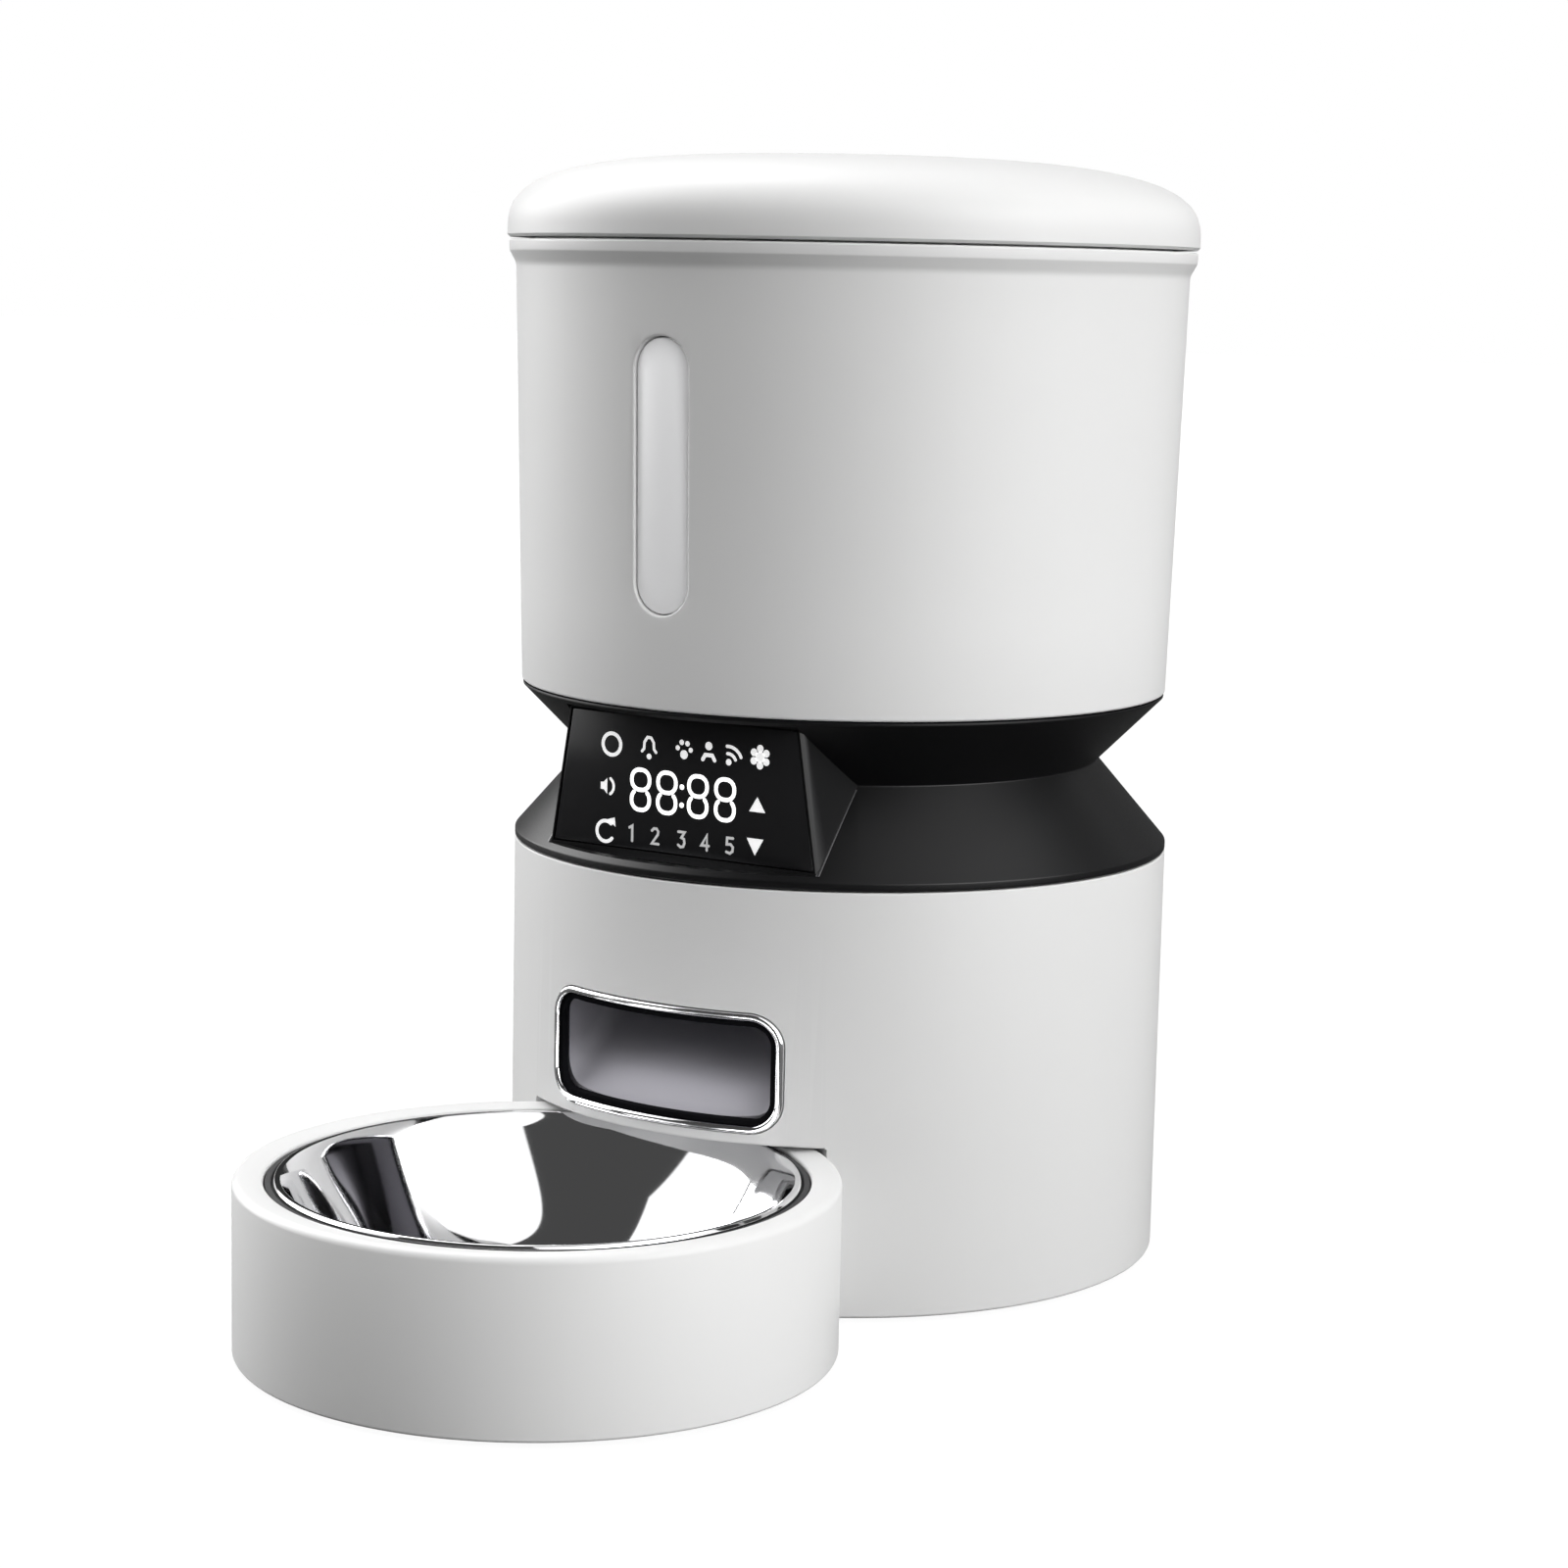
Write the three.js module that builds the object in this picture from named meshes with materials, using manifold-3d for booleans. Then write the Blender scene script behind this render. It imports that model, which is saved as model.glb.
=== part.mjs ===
// Automatic pet feeder: a round tower with a lift-off food tank on a black waist, a front control
// panel, a dispensing rotor with its gear train, a chute, and a steel bowl in a dock-in tray.
// Millimetres, +Z up, front is -Y. The tower and the tray are groups about their own vertical axes.

import * as THREE from "three";
import { mergeVertices } from "three/addons/utils/BufferGeometryUtils.js";
import Module from "manifold-3d";

const wasm = await Module();
wasm.setup();

// ---------------------------------------------------------------- driving dimensions
const GAP = 0.4; // clearance kept between separate pieces
const FINE = 40; // facets round the large shells
const MEDIUM = 24; // facets round the inner parts
const COARSE = 12; // facets round small rods

const BODY_R = 95; // lower body
const BODY_WALL = 3;
const FLOOR_Z = 1.2; // underside of the housing above the table
const BODY_TOP = 118.5;

const CREASE_R = 74.5; // narrowest ring of the waist
const CREASE_Z = 144.5;
const WAIST_TOP = 163.9;
const WAIST_TOP_R = 93;

const TANK_Z = 164.3; // lower edge of the food tank
const TANK_LOW_R = 93.4;
const TANK_HIGH_R = 96.2;
const TANK_WALL = 2.5;
const SEAM_Z = 289.7; // top edge of the tank

const LID_R = 98.8;
const LID_Z = 290.3;
const LID_TOP = 314.8;
const DOME_POWER = 3.2; // superellipse exponent of the lid's dome

const TRAY_R = 79.5; // bowl tray
const TRAY_TOP = 47.8;
const TRAY_OFFSET = 145; // tower axis to tray axis
const DOCK_R = TRAY_R + 0.8; // recess in the tower that takes the tray
const DOCK_TOP = 48.3;
const DOCK_WALL = 2.5;

const PANEL_Y = -82.2; // plane of the control panel
const PANEL_HALF = 38.4; // half width of the panel at PANEL_REF_Z
const PANEL_REF_Z = 161;
const PANEL_TAPER = 0.161; // it widens downwards
const PANEL_FLARE = 0.1; // its sides spread towards the back

const CHUTE_HALF = 38.2; // outer half width of the chute's trim
const CHUTE_LOW = 51.4;
const CHUTE_HIGH = 84.4;
const CHUTE_CORNER = 9;
const TRIM_WIDTH = 3;
const DUCT_HALF = 35; // clear half width of the duct

const WINDOW_HALF = 8.75; // food level window
const WINDOW_LOW = 190;
const WINDOW_HIGH = 264.5;

const DECK_Z = 117.5; // plate that carries the dispenser
const DECK_THICK = 3;
const CUP_R = 62.5; // dispensing chamber
const CUP_TOP = 150;
const ROTOR_R = 59.5;
const ROTOR_LOW = 122;
const ROTOR_HIGH = 144;
const DROP_INNER = 29; // drop opening in the chamber floor
const DROP_OUTER = 58;
const DROP_HALF_ANGLE = Math.PI / 6;

const SHAFT_R = 4;
const OUTPUT_TEETH = 32;
const IDLER_SMALL_TEETH = 12;
const IDLER_LARGE_TEETH = 36;
const MOTOR_TEETH = 10;
const SLOW_MODULE = 1.25;
const FAST_MODULE = 1;
const MESH_PLAY = 0.15; // extra centre distance in each mesh

const CELL_R = 16.6;
const CELL_PITCH = 36;
const CELL_Z = 22;
const BATTERY_HALF = 56.5; // battery box, outside
const BATTERY_FRONT = -15.3;
const BATTERY_BACK = 55.3;

const TOWER_Y = (TRAY_OFFSET + TRAY_R - LID_R) / 2; // centres the whole feeder on the origin
const TRAY_Y = TOWER_Y - TRAY_OFFSET;

const FOOT_PLACES = [[72, 34], [-72, 34], [76, -32], [-76, -32]];
const BASE_SCREW_PLACES = [[68, -53], [-68, -53], [66, 55], [-66, 55]];
const CASE_SCREW_PLACES = [[-29, 18], [44.5, 6], [8, 48]];
const TRAY_PAD_ANGLES = [30, 150, 270];

// ---------------------------------------------------------------- materials
function finish(color, roughness, metalness = 0) {
  return new THREE.MeshStandardMaterial({ color, roughness, metalness });
}

const whiteShell = finish(0xe9e9e8, 0.35);
const greyPlastic = finish(0xb9bbc0, 0.5);
const chuteGrey = finish(0x8e8c98, 0.45);
const blackShell = finish(0x1b1b1d, 0.5);
const blackGlass = finish(0x050506, 0.08);
const windowPlastic = finish(0xcfd0d3, 0.3);
const steelMirror = finish(0xd8d9db, 0.08, 1);
const chrome = finish(0xdadbdc, 0.06, 1);
const steel = finish(0x9fa2a6, 0.35, 1);
const brass = finish(0xc2a25a, 0.35, 1);
const nylon = finish(0xf0ede2, 0.55);
const silicone = finish(0xd9dadb, 0.7);
const rubber = finish(0x2a2a2c, 0.85);
const circuitBoard = finish(0x1f5a38, 0.6);
const batterySleeve = finish(0x4c5560, 0.4, 0.4);
const blackPart = finish(0x202124, 0.6);
const fleece = finish(0xe2e2dc, 0.95);

// ---------------------------------------------------------------- solids and cuts
function toSolid(geometry) {
  const bare = geometry.clone();
  bare.deleteAttribute("normal");
  bare.deleteAttribute("uv");
  const merged = mergeVertices(bare, 1e-4);
  const corners = merged.getIndex().array;
  const kept = [];
  for (let i = 0; i < corners.length; i += 3) {
    const [a, b, c] = [corners[i], corners[i + 1], corners[i + 2]];
    if (a !== b && b !== c && c !== a) kept.push(a, b, c);
  }
  const vertProperties = Float32Array.from(merged.getAttribute("position").array);
  const triVerts = Uint32Array.from(kept);
  return new wasm.Manifold(new wasm.Mesh({ numProp: 3, vertProperties, triVerts }));
}

function toGeometry(solid) {
  const mesh = solid.getMesh();
  const geometry = new THREE.BufferGeometry();
  geometry.setAttribute("position", new THREE.BufferAttribute(mesh.vertProperties, 3));
  geometry.setIndex(new THREE.BufferAttribute(mesh.triVerts, 1));
  geometry.computeVertexNormals();
  return geometry;
}

function join(...pieces) {
  return toGeometry(pieces.map(toSolid).reduce((whole, piece) => whole.add(piece)));
}

function cut(base, ...tools) {
  return toGeometry(tools.map(toSolid).reduce((rest, tool) => rest.subtract(tool), toSolid(base)));
}

function common(first, second) {
  return toGeometry(toSolid(first).intersect(toSolid(second)));
}

// ---------------------------------------------------------------- basic shapes
// A profile of [radius, height] points, turned about the Z axis.
function revolve(profile, segments = MEDIUM) {
  const points = profile.map(([radius, height]) => new THREE.Vector2(radius, height));
  return new THREE.LatheGeometry(points, segments).rotateX(Math.PI / 2);
}

function rod(radius, low, high, segments = COARSE) {
  return revolve([[0, low], [radius, low], [radius, high], [0, high]], segments);
}

function sleeve(inner, outer, low, high, segments = MEDIUM) {
  return revolve([[inner, low], [outer, low], [outer, high], [inner, high], [inner, low]], segments);
}

function block(x0, x1, y0, y1, z0, z1) {
  const geometry = new THREE.BoxGeometry(x1 - x0, y1 - y0, z1 - z0);
  return geometry.translate((x0 + x1) / 2, (y0 + y1) / 2, (z0 + z1) / 2);
}

function polygon(points) {
  return new THREE.Shape(points.map(([u, v]) => new THREE.Vector2(u, v)));
}

function roundedRect(half, low, high, radius) {
  const shape = new THREE.Shape();
  shape.absarc(half - radius, low + radius, radius, -Math.PI / 2, 0, false);
  shape.absarc(half - radius, high - radius, radius, 0, Math.PI / 2, false);
  shape.absarc(radius - half, high - radius, radius, Math.PI / 2, Math.PI, false);
  shape.absarc(radius - half, low + radius, radius, Math.PI, 1.5 * Math.PI, false);
  shape.closePath();
  return shape;
}

function ringSector(inner, outer, middle, halfAngle) {
  const shape = new THREE.Shape();
  shape.absarc(0, 0, outer, middle - halfAngle, middle + halfAngle, false);
  shape.absarc(0, 0, inner, middle + halfAngle, middle - halfAngle, true);
  shape.closePath();
  return shape;
}

function extrude(shape, depth, curveSegments) {
  return new THREE.ExtrudeGeometry(shape, { depth, bevelEnabled: false, curveSegments });
}

// A plan outline in X and Y, raised along Z.
function extrudeUp(shape, low, high, curveSegments = 6) {
  return extrude(shape, high - low, curveSegments).translate(0, 0, low);
}

// A front outline in X and Z, drawn out along Y.
function extrudeFront(shape, back, front, curveSegments = 6) {
  const axes = new THREE.Matrix4().makeBasis(
    new THREE.Vector3(1, 0, 0),
    new THREE.Vector3(0, 0, 1),
    new THREE.Vector3(0, -1, 0),
  );
  return extrude(shape, back - front, curveSegments).applyMatrix4(axes).translate(0, back, 0);
}

// A side outline in Y and Z, drawn out along X.
function extrudeAcross(shape, left, right) {
  const axes = new THREE.Matrix4().makeBasis(
    new THREE.Vector3(0, 1, 0),
    new THREE.Vector3(0, 0, 1),
    new THREE.Vector3(1, 0, 0),
  );
  return extrude(shape, right - left, 1).applyMatrix4(axes).translate(left, 0, 0);
}

// Turns a part built along +Z so that it lies along +Y.
function layAlongY(geometry) {
  return geometry.rotateX(-Math.PI / 2);
}

// Quarter of a superellipse from the rim to the axis, as [radius, height] points.
function dome(radius, base, height, steps) {
  const points = [];
  for (let i = 0; i <= steps; i += 1) {
    const angle = (i / steps) * (Math.PI / 2);
    const across = i === steps ? 0 : radius * Math.cos(angle) ** (2 / DOME_POWER);
    points.push([across, base + height * Math.sin(angle) ** (2 / DOME_POWER)]);
  }
  return points;
}

// A machine screw with its head down and its seat at height zero.
function screw(headRadius, headHeight, shankRadius, shankLength) {
  const profile = [
    [0, -headHeight],
    [headRadius * 0.8, -headHeight],
    [headRadius, -headHeight * 0.6],
    [headRadius, 0],
    [shankRadius, 0],
    [shankRadius, shankLength],
    [0, shankLength],
  ];
  return revolve(profile, 12);
}

// A spur gear about Z with tooth 0 on +X.
function gearShape(teeth, module, bore) {
  const pitchRadius = (teeth * module) / 2;
  const step = (2 * Math.PI) / teeth;
  const root = pitchRadius - 1.2 * module;
  const tip = pitchRadius + 0.92 * module;
  const shape = new THREE.Shape();
  for (let i = 0; i < teeth; i += 1) {
    const middle = i * step;
    const flank = [[root, -0.34], [tip, -0.12], [tip, 0.12], [root, 0.34]];
    for (const [radius, share] of flank) {
      const angle = middle + share * step;
      const place = [radius * Math.cos(angle), radius * Math.sin(angle)];
      if (i === 0 && share === -0.34) shape.moveTo(...place);
      else shape.lineTo(...place);
    }
  }
  shape.closePath();
  shape.holes.push(new THREE.Path().absarc(0, 0, bore, 0, 2 * Math.PI, true));
  return shape;
}

// ---------------------------------------------------------------- lower body
function bodyShell() {
  const wall = revolve(
    [
      [BODY_R - BODY_WALL, FLOOR_Z],
      [BODY_R - 0.8, FLOOR_Z],
      [BODY_R, FLOOR_Z + 0.8],
      [BODY_R, BODY_TOP - 0.5],
      [BODY_R - 0.5, BODY_TOP],
      [BODY_R - BODY_WALL, BODY_TOP],
      [BODY_R - BODY_WALL, FLOOR_Z],
    ],
    FINE,
  );
  const dockHull = rod(DOCK_R + DOCK_WALL, FLOOR_Z, DOCK_TOP + DOCK_WALL, FINE);
  const dockPlace = dockHull.translate(0, -TRAY_OFFSET, 0);
  const dock = common(dockPlace, rod(BODY_R - 0.5, FLOOR_Z, BODY_TOP, FINE));
  const bosses = BASE_SCREW_PLACES.map(([x, y]) => rod(6.3, 6.9, 30, COARSE).translate(x, y, 0));
  const bossTrim = rod(BODY_R - 1, 0, 40, FINE);
  const trimmedBosses = bosses.map((boss) => common(boss, bossTrim));

  const dockSpace = rod(DOCK_R, -1, DOCK_TOP, FINE).translate(0, -TRAY_OFFSET, 0);
  const tongueSlot = block(-12.8, 12.8, -68, -58, 9.4, 19);
  const chuteHole = extrudeFront(
    roundedRect(CHUTE_HALF + GAP, CHUTE_LOW - GAP, CHUTE_HIGH + GAP, CHUTE_CORNER + GAP),
    -80,
    -100,
  );
  const screwHoles = BASE_SCREW_PLACES.map(([x, y]) => rod(1.9, 6, 26, 12).translate(x, y, 0));
  const doorExit = block(-58.4, 58.4, 60, 100, -1, 4.8);
  const inletHole = layAlongY(rod(5.2, 80, 100, COARSE)).translate(0, 0, 24);
  const grille = [];
  for (let i = -3; i <= 3; i += 1) {
    const half = 9 - Math.abs(i) * 1.4;
    grille.push(block(i * 3.8 - 0.9, i * 3.8 + 0.9, 85, 100, 84 - half, 84 + half));
  }
  const whole = join(wall, dock, ...trimmedBosses);
  return cut(whole, dockSpace, tongueSlot, chuteHole, ...screwHoles, doorExit, inletHole, ...grille);
}

function basePlate() {
  const plate = rod(BODY_R - BODY_WALL - GAP, FLOOR_Z, 6.5, FINE);
  const dockSpace = rod(DOCK_R + DOCK_WALL + GAP, -1, 20, FINE).translate(0, -TRAY_OFFSET, 0);
  const batteryHole = block(-54.9, 54.9, -13.7, 53.7, -1, 20);
  const doorTrack = block(-58.4, 58.4, -18.5, 100, 2.7, 4.8);
  const doorFace = block(-56.9, 56.9, -18.5, 100, -1, 2.8);
  const footPockets = FOOT_PLACES.map(([x, y]) => rod(7.9, -1, 3.6, COARSE).translate(x, y, 0));
  const screwPockets = BASE_SCREW_PLACES.map(([x, y]) => rod(3.8, -1, 4.2, COARSE).translate(x, y, 0));
  const screwHoles = BASE_SCREW_PLACES.map(([x, y]) => rod(1.9, -1, 20, 12).translate(x, y, 0));
  const doorway = [batteryHole, doorTrack, doorFace];
  return cut(plate, dockSpace, ...doorway, ...footPockets, ...screwPockets, ...screwHoles);
}

function foot() {
  return revolve([[0, 0], [6.7, 0], [7.4, 0.7], [7.4, 3.2], [0, 3.2]], COARSE);
}

function batteryBox() {
  const outside = block(-BATTERY_HALF, BATTERY_HALF, BATTERY_FRONT, BATTERY_BACK, 6.8, 44);
  const wall = 1.8;
  const inside = block(
    -BATTERY_HALF + wall,
    BATTERY_HALF - wall,
    BATTERY_FRONT + wall,
    BATTERY_BACK - wall,
    0,
    44 - wall,
  );
  const divider = block(-0.6, 0.6, BATTERY_FRONT + 5, BATTERY_BACK - 5, 30, 43);
  const left = divider.clone().translate(-CELL_PITCH / 2, 0, 0);
  const right = divider.clone().translate(CELL_PITCH / 2, 0, 0);
  return join(cut(outside, inside), left, right);
}

function batteryCell() {
  const shoulder = 60; // the button stands on it
  const profile = [
    [0, 0],
    [CELL_R - 1, 0],
    [CELL_R, 1],
    [CELL_R, shoulder - 1],
    [CELL_R - 1, shoulder],
    [4.6, shoulder],
    [4.6, shoulder + 1.5],
    [0, shoulder + 1.5],
  ];
  return layAlongY(revolve(profile, COARSE));
}

// A contact strip with one sprung or flat boss for each cell; the bosses point along +Y.
function contactStrip(bossHeight) {
  const strip = block(-52, 52, 0, 0.8, CELL_Z - 9, CELL_Z + 9);
  const bosses = [-1, 0, 1].map((i) => {
    const boss = revolve([[0, 0.4], [8, 0.4], [4, bossHeight], [0, bossHeight]], 12);
    return layAlongY(boss).translate(i * CELL_PITCH, 0, CELL_Z);
  });
  return join(strip, ...bosses);
}

// The door's plan: straight sides and a back edge that follows the body.
function doorOutline(half) {
  const reach = BODY_R - 0.5;
  const turn = Math.asin(half / reach);
  const shape = new THREE.Shape();
  shape.moveTo(-half, -18);
  shape.lineTo(half, -18);
  shape.absarc(0, 0, reach, Math.PI / 2 - turn, Math.PI / 2 + turn, false);
  shape.closePath();
  return shape;
}

function batteryDoor() {
  const tongue = extrudeUp(doorOutline(57.9), 3, 4.4, 10);
  const face = extrudeUp(doorOutline(56.4), 1.5, 3.1, 10);
  const grips = [0, 1, 2, 3].map((i) => block(-14, 14, 74 + i * 3.6, 75.6 + i * 3.6, 1, 2));
  return cut(join(tongue, face), ...grips);
}

function powerInlet() {
  const profile = [[0, 0], [4.7, 0], [4.7, 14], [3, 14], [3, 3], [1, 3], [1, 12], [0, 12]];
  return layAlongY(revolve(profile, COARSE));
}

function speaker() {
  return layAlongY(revolve([[0, 0], [8, 0], [8, 6], [15, 9.5], [15, 12], [0, 12]], COARSE));
}

// ---------------------------------------------------------------- chute
function chuteDuct() {
  const outside = polygon([
    [-100, 53], [-87.5, 53], [-25.2, 96.1], [-25.2, DECK_Z - GAP], [-60.3, DECK_Z - GAP], [-60.3, 96.8],
    [-72.8, 84.2], [-100, 84.2],
  ]);
  const inside = polygon([
    [-110, 54.8], [-88, 54.8], [-27, 97], [-27, 130], [-58.5, 130], [-58.5, 96], [-72, 82.4], [-110, 82.4],
  ]);
  const hull = extrudeAcross(outside, -DUCT_HALF - 1.8, DUCT_HALF + 1.8);
  const hollow = cut(hull, extrudeAcross(inside, -DUCT_HALF, DUCT_HALF));
  return common(hollow, rod(BODY_R - BODY_WALL - GAP, 40, 130, FINE));
}

function chuteTrim() {
  const outer = roundedRect(CHUTE_HALF, CHUTE_LOW, CHUTE_HIGH, CHUTE_CORNER);
  const inner = roundedRect(
    CHUTE_HALF - TRIM_WIDTH,
    CHUTE_LOW + TRIM_WIDTH,
    CHUTE_HIGH - TRIM_WIDTH,
    CHUTE_CORNER - TRIM_WIDTH,
  );
  outer.holes.push(new THREE.Path(inner.getPoints(5)));
  const frame = extrudeFront(outer, -80, -100, 5);
  return common(frame, sleeve(BODY_R - BODY_WALL + GAP, BODY_R + 0.9, 40, 100, FINE));
}

// ---------------------------------------------------------------- dispenser
function deck() {
  const top = DECK_Z + DECK_THICK;
  const profile = [
    [SHAFT_R + GAP, DECK_Z],
    [BODY_R - BODY_WALL - 1, DECK_Z],
    [BODY_R - BODY_WALL - 1, top],
    [CUP_R + 2.5, top],
    [CUP_R + 2.5, CUP_TOP],
    [CUP_R, CUP_TOP],
    [CUP_R, top],
    [SHAFT_R + GAP, top],
    [SHAFT_R + GAP, DECK_Z],
  ];
  const drop = extrudeUp(ringSector(DROP_INNER, DROP_OUTER, -Math.PI / 2, DROP_HALF_ANGLE), 110, 125);
  const screwHoles = CASE_SCREW_PLACES.map(([x, y]) => rod(1.9, 110, 125, 12).translate(x, y, 0));
  return cut(revolve(profile), drop, ...screwHoles);
}

// Ring in the chamber's mouth whose shield keeps food from falling straight down the chute.
function portionGuard() {
  const ring = sleeve(CUP_R - 1.9, CUP_R - 0.3, 145, CUP_TOP - 0.2);
  const shieldShape = ringSector(20, CUP_R - 1, -Math.PI / 2, DROP_HALF_ANGLE + 0.14);
  return join(ring, extrudeUp(shieldShape, 145, 146.6));
}

function impeller() {
  const bore = SHAFT_R + GAP;
  const hub = revolve(
    [
      [bore, ROTOR_LOW], [12, ROTOR_LOW], [12, ROTOR_HIGH - 3],
      [9, ROTOR_HIGH], [bore, ROTOR_HIGH], [bore, ROTOR_LOW],
    ],
    24,
  );
  const vanes = [];
  for (let i = 0; i < 6; i += 1) {
    const vane = block(10, ROTOR_R, -1.3, 1.3, ROTOR_LOW, ROTOR_HIGH);
    vanes.push(vane.rotateZ((i * Math.PI) / 3));
  }
  return join(hub, ...vanes);
}

function stirrer() {
  const bore = SHAFT_R + GAP;
  const cap = revolve(
    [
      [0, 151.5], [bore, 151.5], [bore, ROTOR_HIGH + 0.8],
      [9, ROTOR_HIGH + 0.8], [9, 153], [4, 158], [0, 158],
    ],
    COARSE,
  );
  const arm = block(-42, 42, -2.5, 2.5, 152, 155);
  const fingers = [-39, 39].map((x) => rod(2.2, 153, 165, 12).translate(x, 0, 0));
  return join(cap, arm, ...fingers);
}

const slowPitch = (teeth) => (teeth * SLOW_MODULE) / 2;
const fastPitch = (teeth) => (teeth * FAST_MODULE) / 2;
const IDLER_ANGLE = (50 * Math.PI) / 180;
const IDLER_DISTANCE = slowPitch(OUTPUT_TEETH) + slowPitch(IDLER_SMALL_TEETH) + MESH_PLAY;
const IDLER_AT = [IDLER_DISTANCE * Math.cos(IDLER_ANGLE), IDLER_DISTANCE * Math.sin(IDLER_ANGLE)];
const MOTOR_ANGLE = (150 * Math.PI) / 180;
const MOTOR_DISTANCE = fastPitch(IDLER_LARGE_TEETH) + fastPitch(MOTOR_TEETH) + MESH_PLAY;
const MOTOR_AT = [
  IDLER_AT[0] + MOTOR_DISTANCE * Math.cos(MOTOR_ANGLE),
  IDLER_AT[1] + MOTOR_DISTANCE * Math.sin(MOTOR_ANGLE),
];
const FAST_LOW = 98.5; // plane of the fast pair
const FAST_HIGH = 103.5;
const SLOW_LOW = 104.5; // plane of the slow pair
const SLOW_HIGH = 110.5;

// Tooth 0 of each driving wheel points along the line of centres; the mating wheel shows it a gap.
function outputGear() {
  const bore = SHAFT_R + GAP;
  const wheel = extrudeUp(gearShape(OUTPUT_TEETH, SLOW_MODULE, bore), SLOW_LOW, SLOW_HIGH, 8);
  return join(wheel.rotateZ(IDLER_ANGLE), sleeve(bore, 8, SLOW_HIGH - 0.5, 114, COARSE));
}

function idlerGear() {
  const gapTurn = Math.PI / IDLER_SMALL_TEETH;
  const small = extrudeUp(gearShape(IDLER_SMALL_TEETH, SLOW_MODULE, 2.4), FAST_HIGH - 0.5, SLOW_HIGH, 8);
  const large = extrudeUp(gearShape(IDLER_LARGE_TEETH, FAST_MODULE, 2.4), FAST_LOW, FAST_HIGH, 8);
  return join(small.rotateZ(IDLER_ANGLE + Math.PI + gapTurn), large.rotateZ(MOTOR_ANGLE));
}

function motorPinion() {
  const gapTurn = Math.PI / MOTOR_TEETH;
  const wheel = extrudeUp(gearShape(MOTOR_TEETH, FAST_MODULE, 1), FAST_LOW, FAST_HIGH, 8);
  return join(wheel.rotateZ(MOTOR_ANGLE + Math.PI + gapTurn), rod(1.6, 96.7, FAST_HIGH + 1, 12));
}

function gearMotor() {
  const profile = [
    [0, 55], [4, 55], [4, 57], [11, 57], [12, 58], [12, 93.6], [5, 93.6], [5, 96.3], [0, 96.3],
  ];
  return revolve(profile, COARSE);
}

function gearCase() {
  const outside = block(-26, 41.5, -24.3, 45, 94, DECK_Z - 0.3);
  const inside = block(-24, 39.5, -22.3, 43, 96.5, 130);
  const ears = CASE_SCREW_PLACES.map(([x, y]) => rod(4.6, 112.6, DECK_Z - 0.3).translate(x, y, 0));
  const earHoles = CASE_SCREW_PLACES.map(([x, y]) => rod(1.9, 100, 130, 12).translate(x, y, 0));
  const motorHole = rod(5.5, 90, 100).translate(MOTOR_AT[0], MOTOR_AT[1], 0);
  return cut(join(outside, ...ears), inside, motorHole, ...earHoles);
}

// ---------------------------------------------------------------- waist and control panel
const panelHalf = (height) => PANEL_HALF - PANEL_TAPER * (height - PANEL_REF_Z);

// A slab behind the panel's outline, drawn in by inset, with sides that spread towards the back.
function panelSlab(inset, low, high, back, front) {
  const wide = panelHalf(low) - inset;
  const narrow = panelHalf(high) - inset;
  const trapezium = polygon([[-wide, low], [wide, low], [narrow, high], [-narrow, high]]);
  const geometry = extrudeFront(trapezium, back, front);
  const place = geometry.getAttribute("position");
  for (let i = 0; i < place.count; i += 1) {
    const spread = PANEL_FLARE * (place.getY(i) - PANEL_Y);
    place.setX(i, place.getX(i) + Math.sign(place.getX(i)) * spread);
  }
  return geometry;
}

function waistShell() {
  const low = BODY_TOP + GAP;
  const lip = 120.9;
  const outside = revolve(
    [
      [0, low], [BODY_R, low], [BODY_R, lip], [CREASE_R, CREASE_Z - 0.4], [CREASE_R, CREASE_Z + 0.4],
      [WAIST_TOP_R, WAIST_TOP - 0.7], [WAIST_TOP_R, WAIST_TOP], [0, WAIST_TOP],
    ],
    FINE,
  );
  const inside = revolve(
    [
      [0, low - 1], [BODY_R - 3, low - 1], [BODY_R - 3, lip], [CREASE_R - 3.2, CREASE_Z],
      [WAIST_TOP_R - 3.4, WAIST_TOP - 0.7], [WAIST_TOP_R - 3.4, WAIST_TOP + 1], [0, WAIST_TOP + 1],
    ],
    FINE,
  );
  const housing = panelSlab(0, lip, WAIST_TOP, -60, PANEL_Y);
  const ahead = panelSlab(0, 122.4, 162.2, PANEL_Y, -110);
  const cavity = panelSlab(2.4, 123.9, 160.6, -50, -78.8);
  const glassSeat = panelSlab(1, 123.2, 161.3, -80.6, -90);
  const displayHole = block(-27, 27, -84, -78, 130.5, 152.5);
  const core = revolve([[0, 100], [70.8, 100], [70.8, 150], [76.5, 160], [76.5, 170], [0, 170]], FINE);
  const whole = join(cut(outside, inside), housing);
  return cut(whole, ahead, cavity, glassSeat, displayHole, core);
}

function touchGlass() {
  return panelSlab(1.3, 123.5, 161, -80.9, -82.1);
}

// ---------------------------------------------------------------- food tank
function tankProfile(shift) {
  return [
    [TANK_LOW_R - TANK_WALL, TANK_Z],
    [TANK_LOW_R - 0.8 + shift, TANK_Z],
    [TANK_LOW_R + shift, TANK_Z + 0.8],
    [TANK_HIGH_R + shift, SEAM_Z - 6.7],
    [TANK_HIGH_R + 1.9 + shift, SEAM_Z - 3],
    [TANK_HIGH_R + 2.1 + shift, SEAM_Z - 0.5],
    [TANK_HIGH_R + 1.6 + shift, SEAM_Z],
    [TANK_HIGH_R - TANK_WALL, SEAM_Z],
    [TANK_LOW_R - TANK_WALL, TANK_Z],
  ];
}

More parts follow.
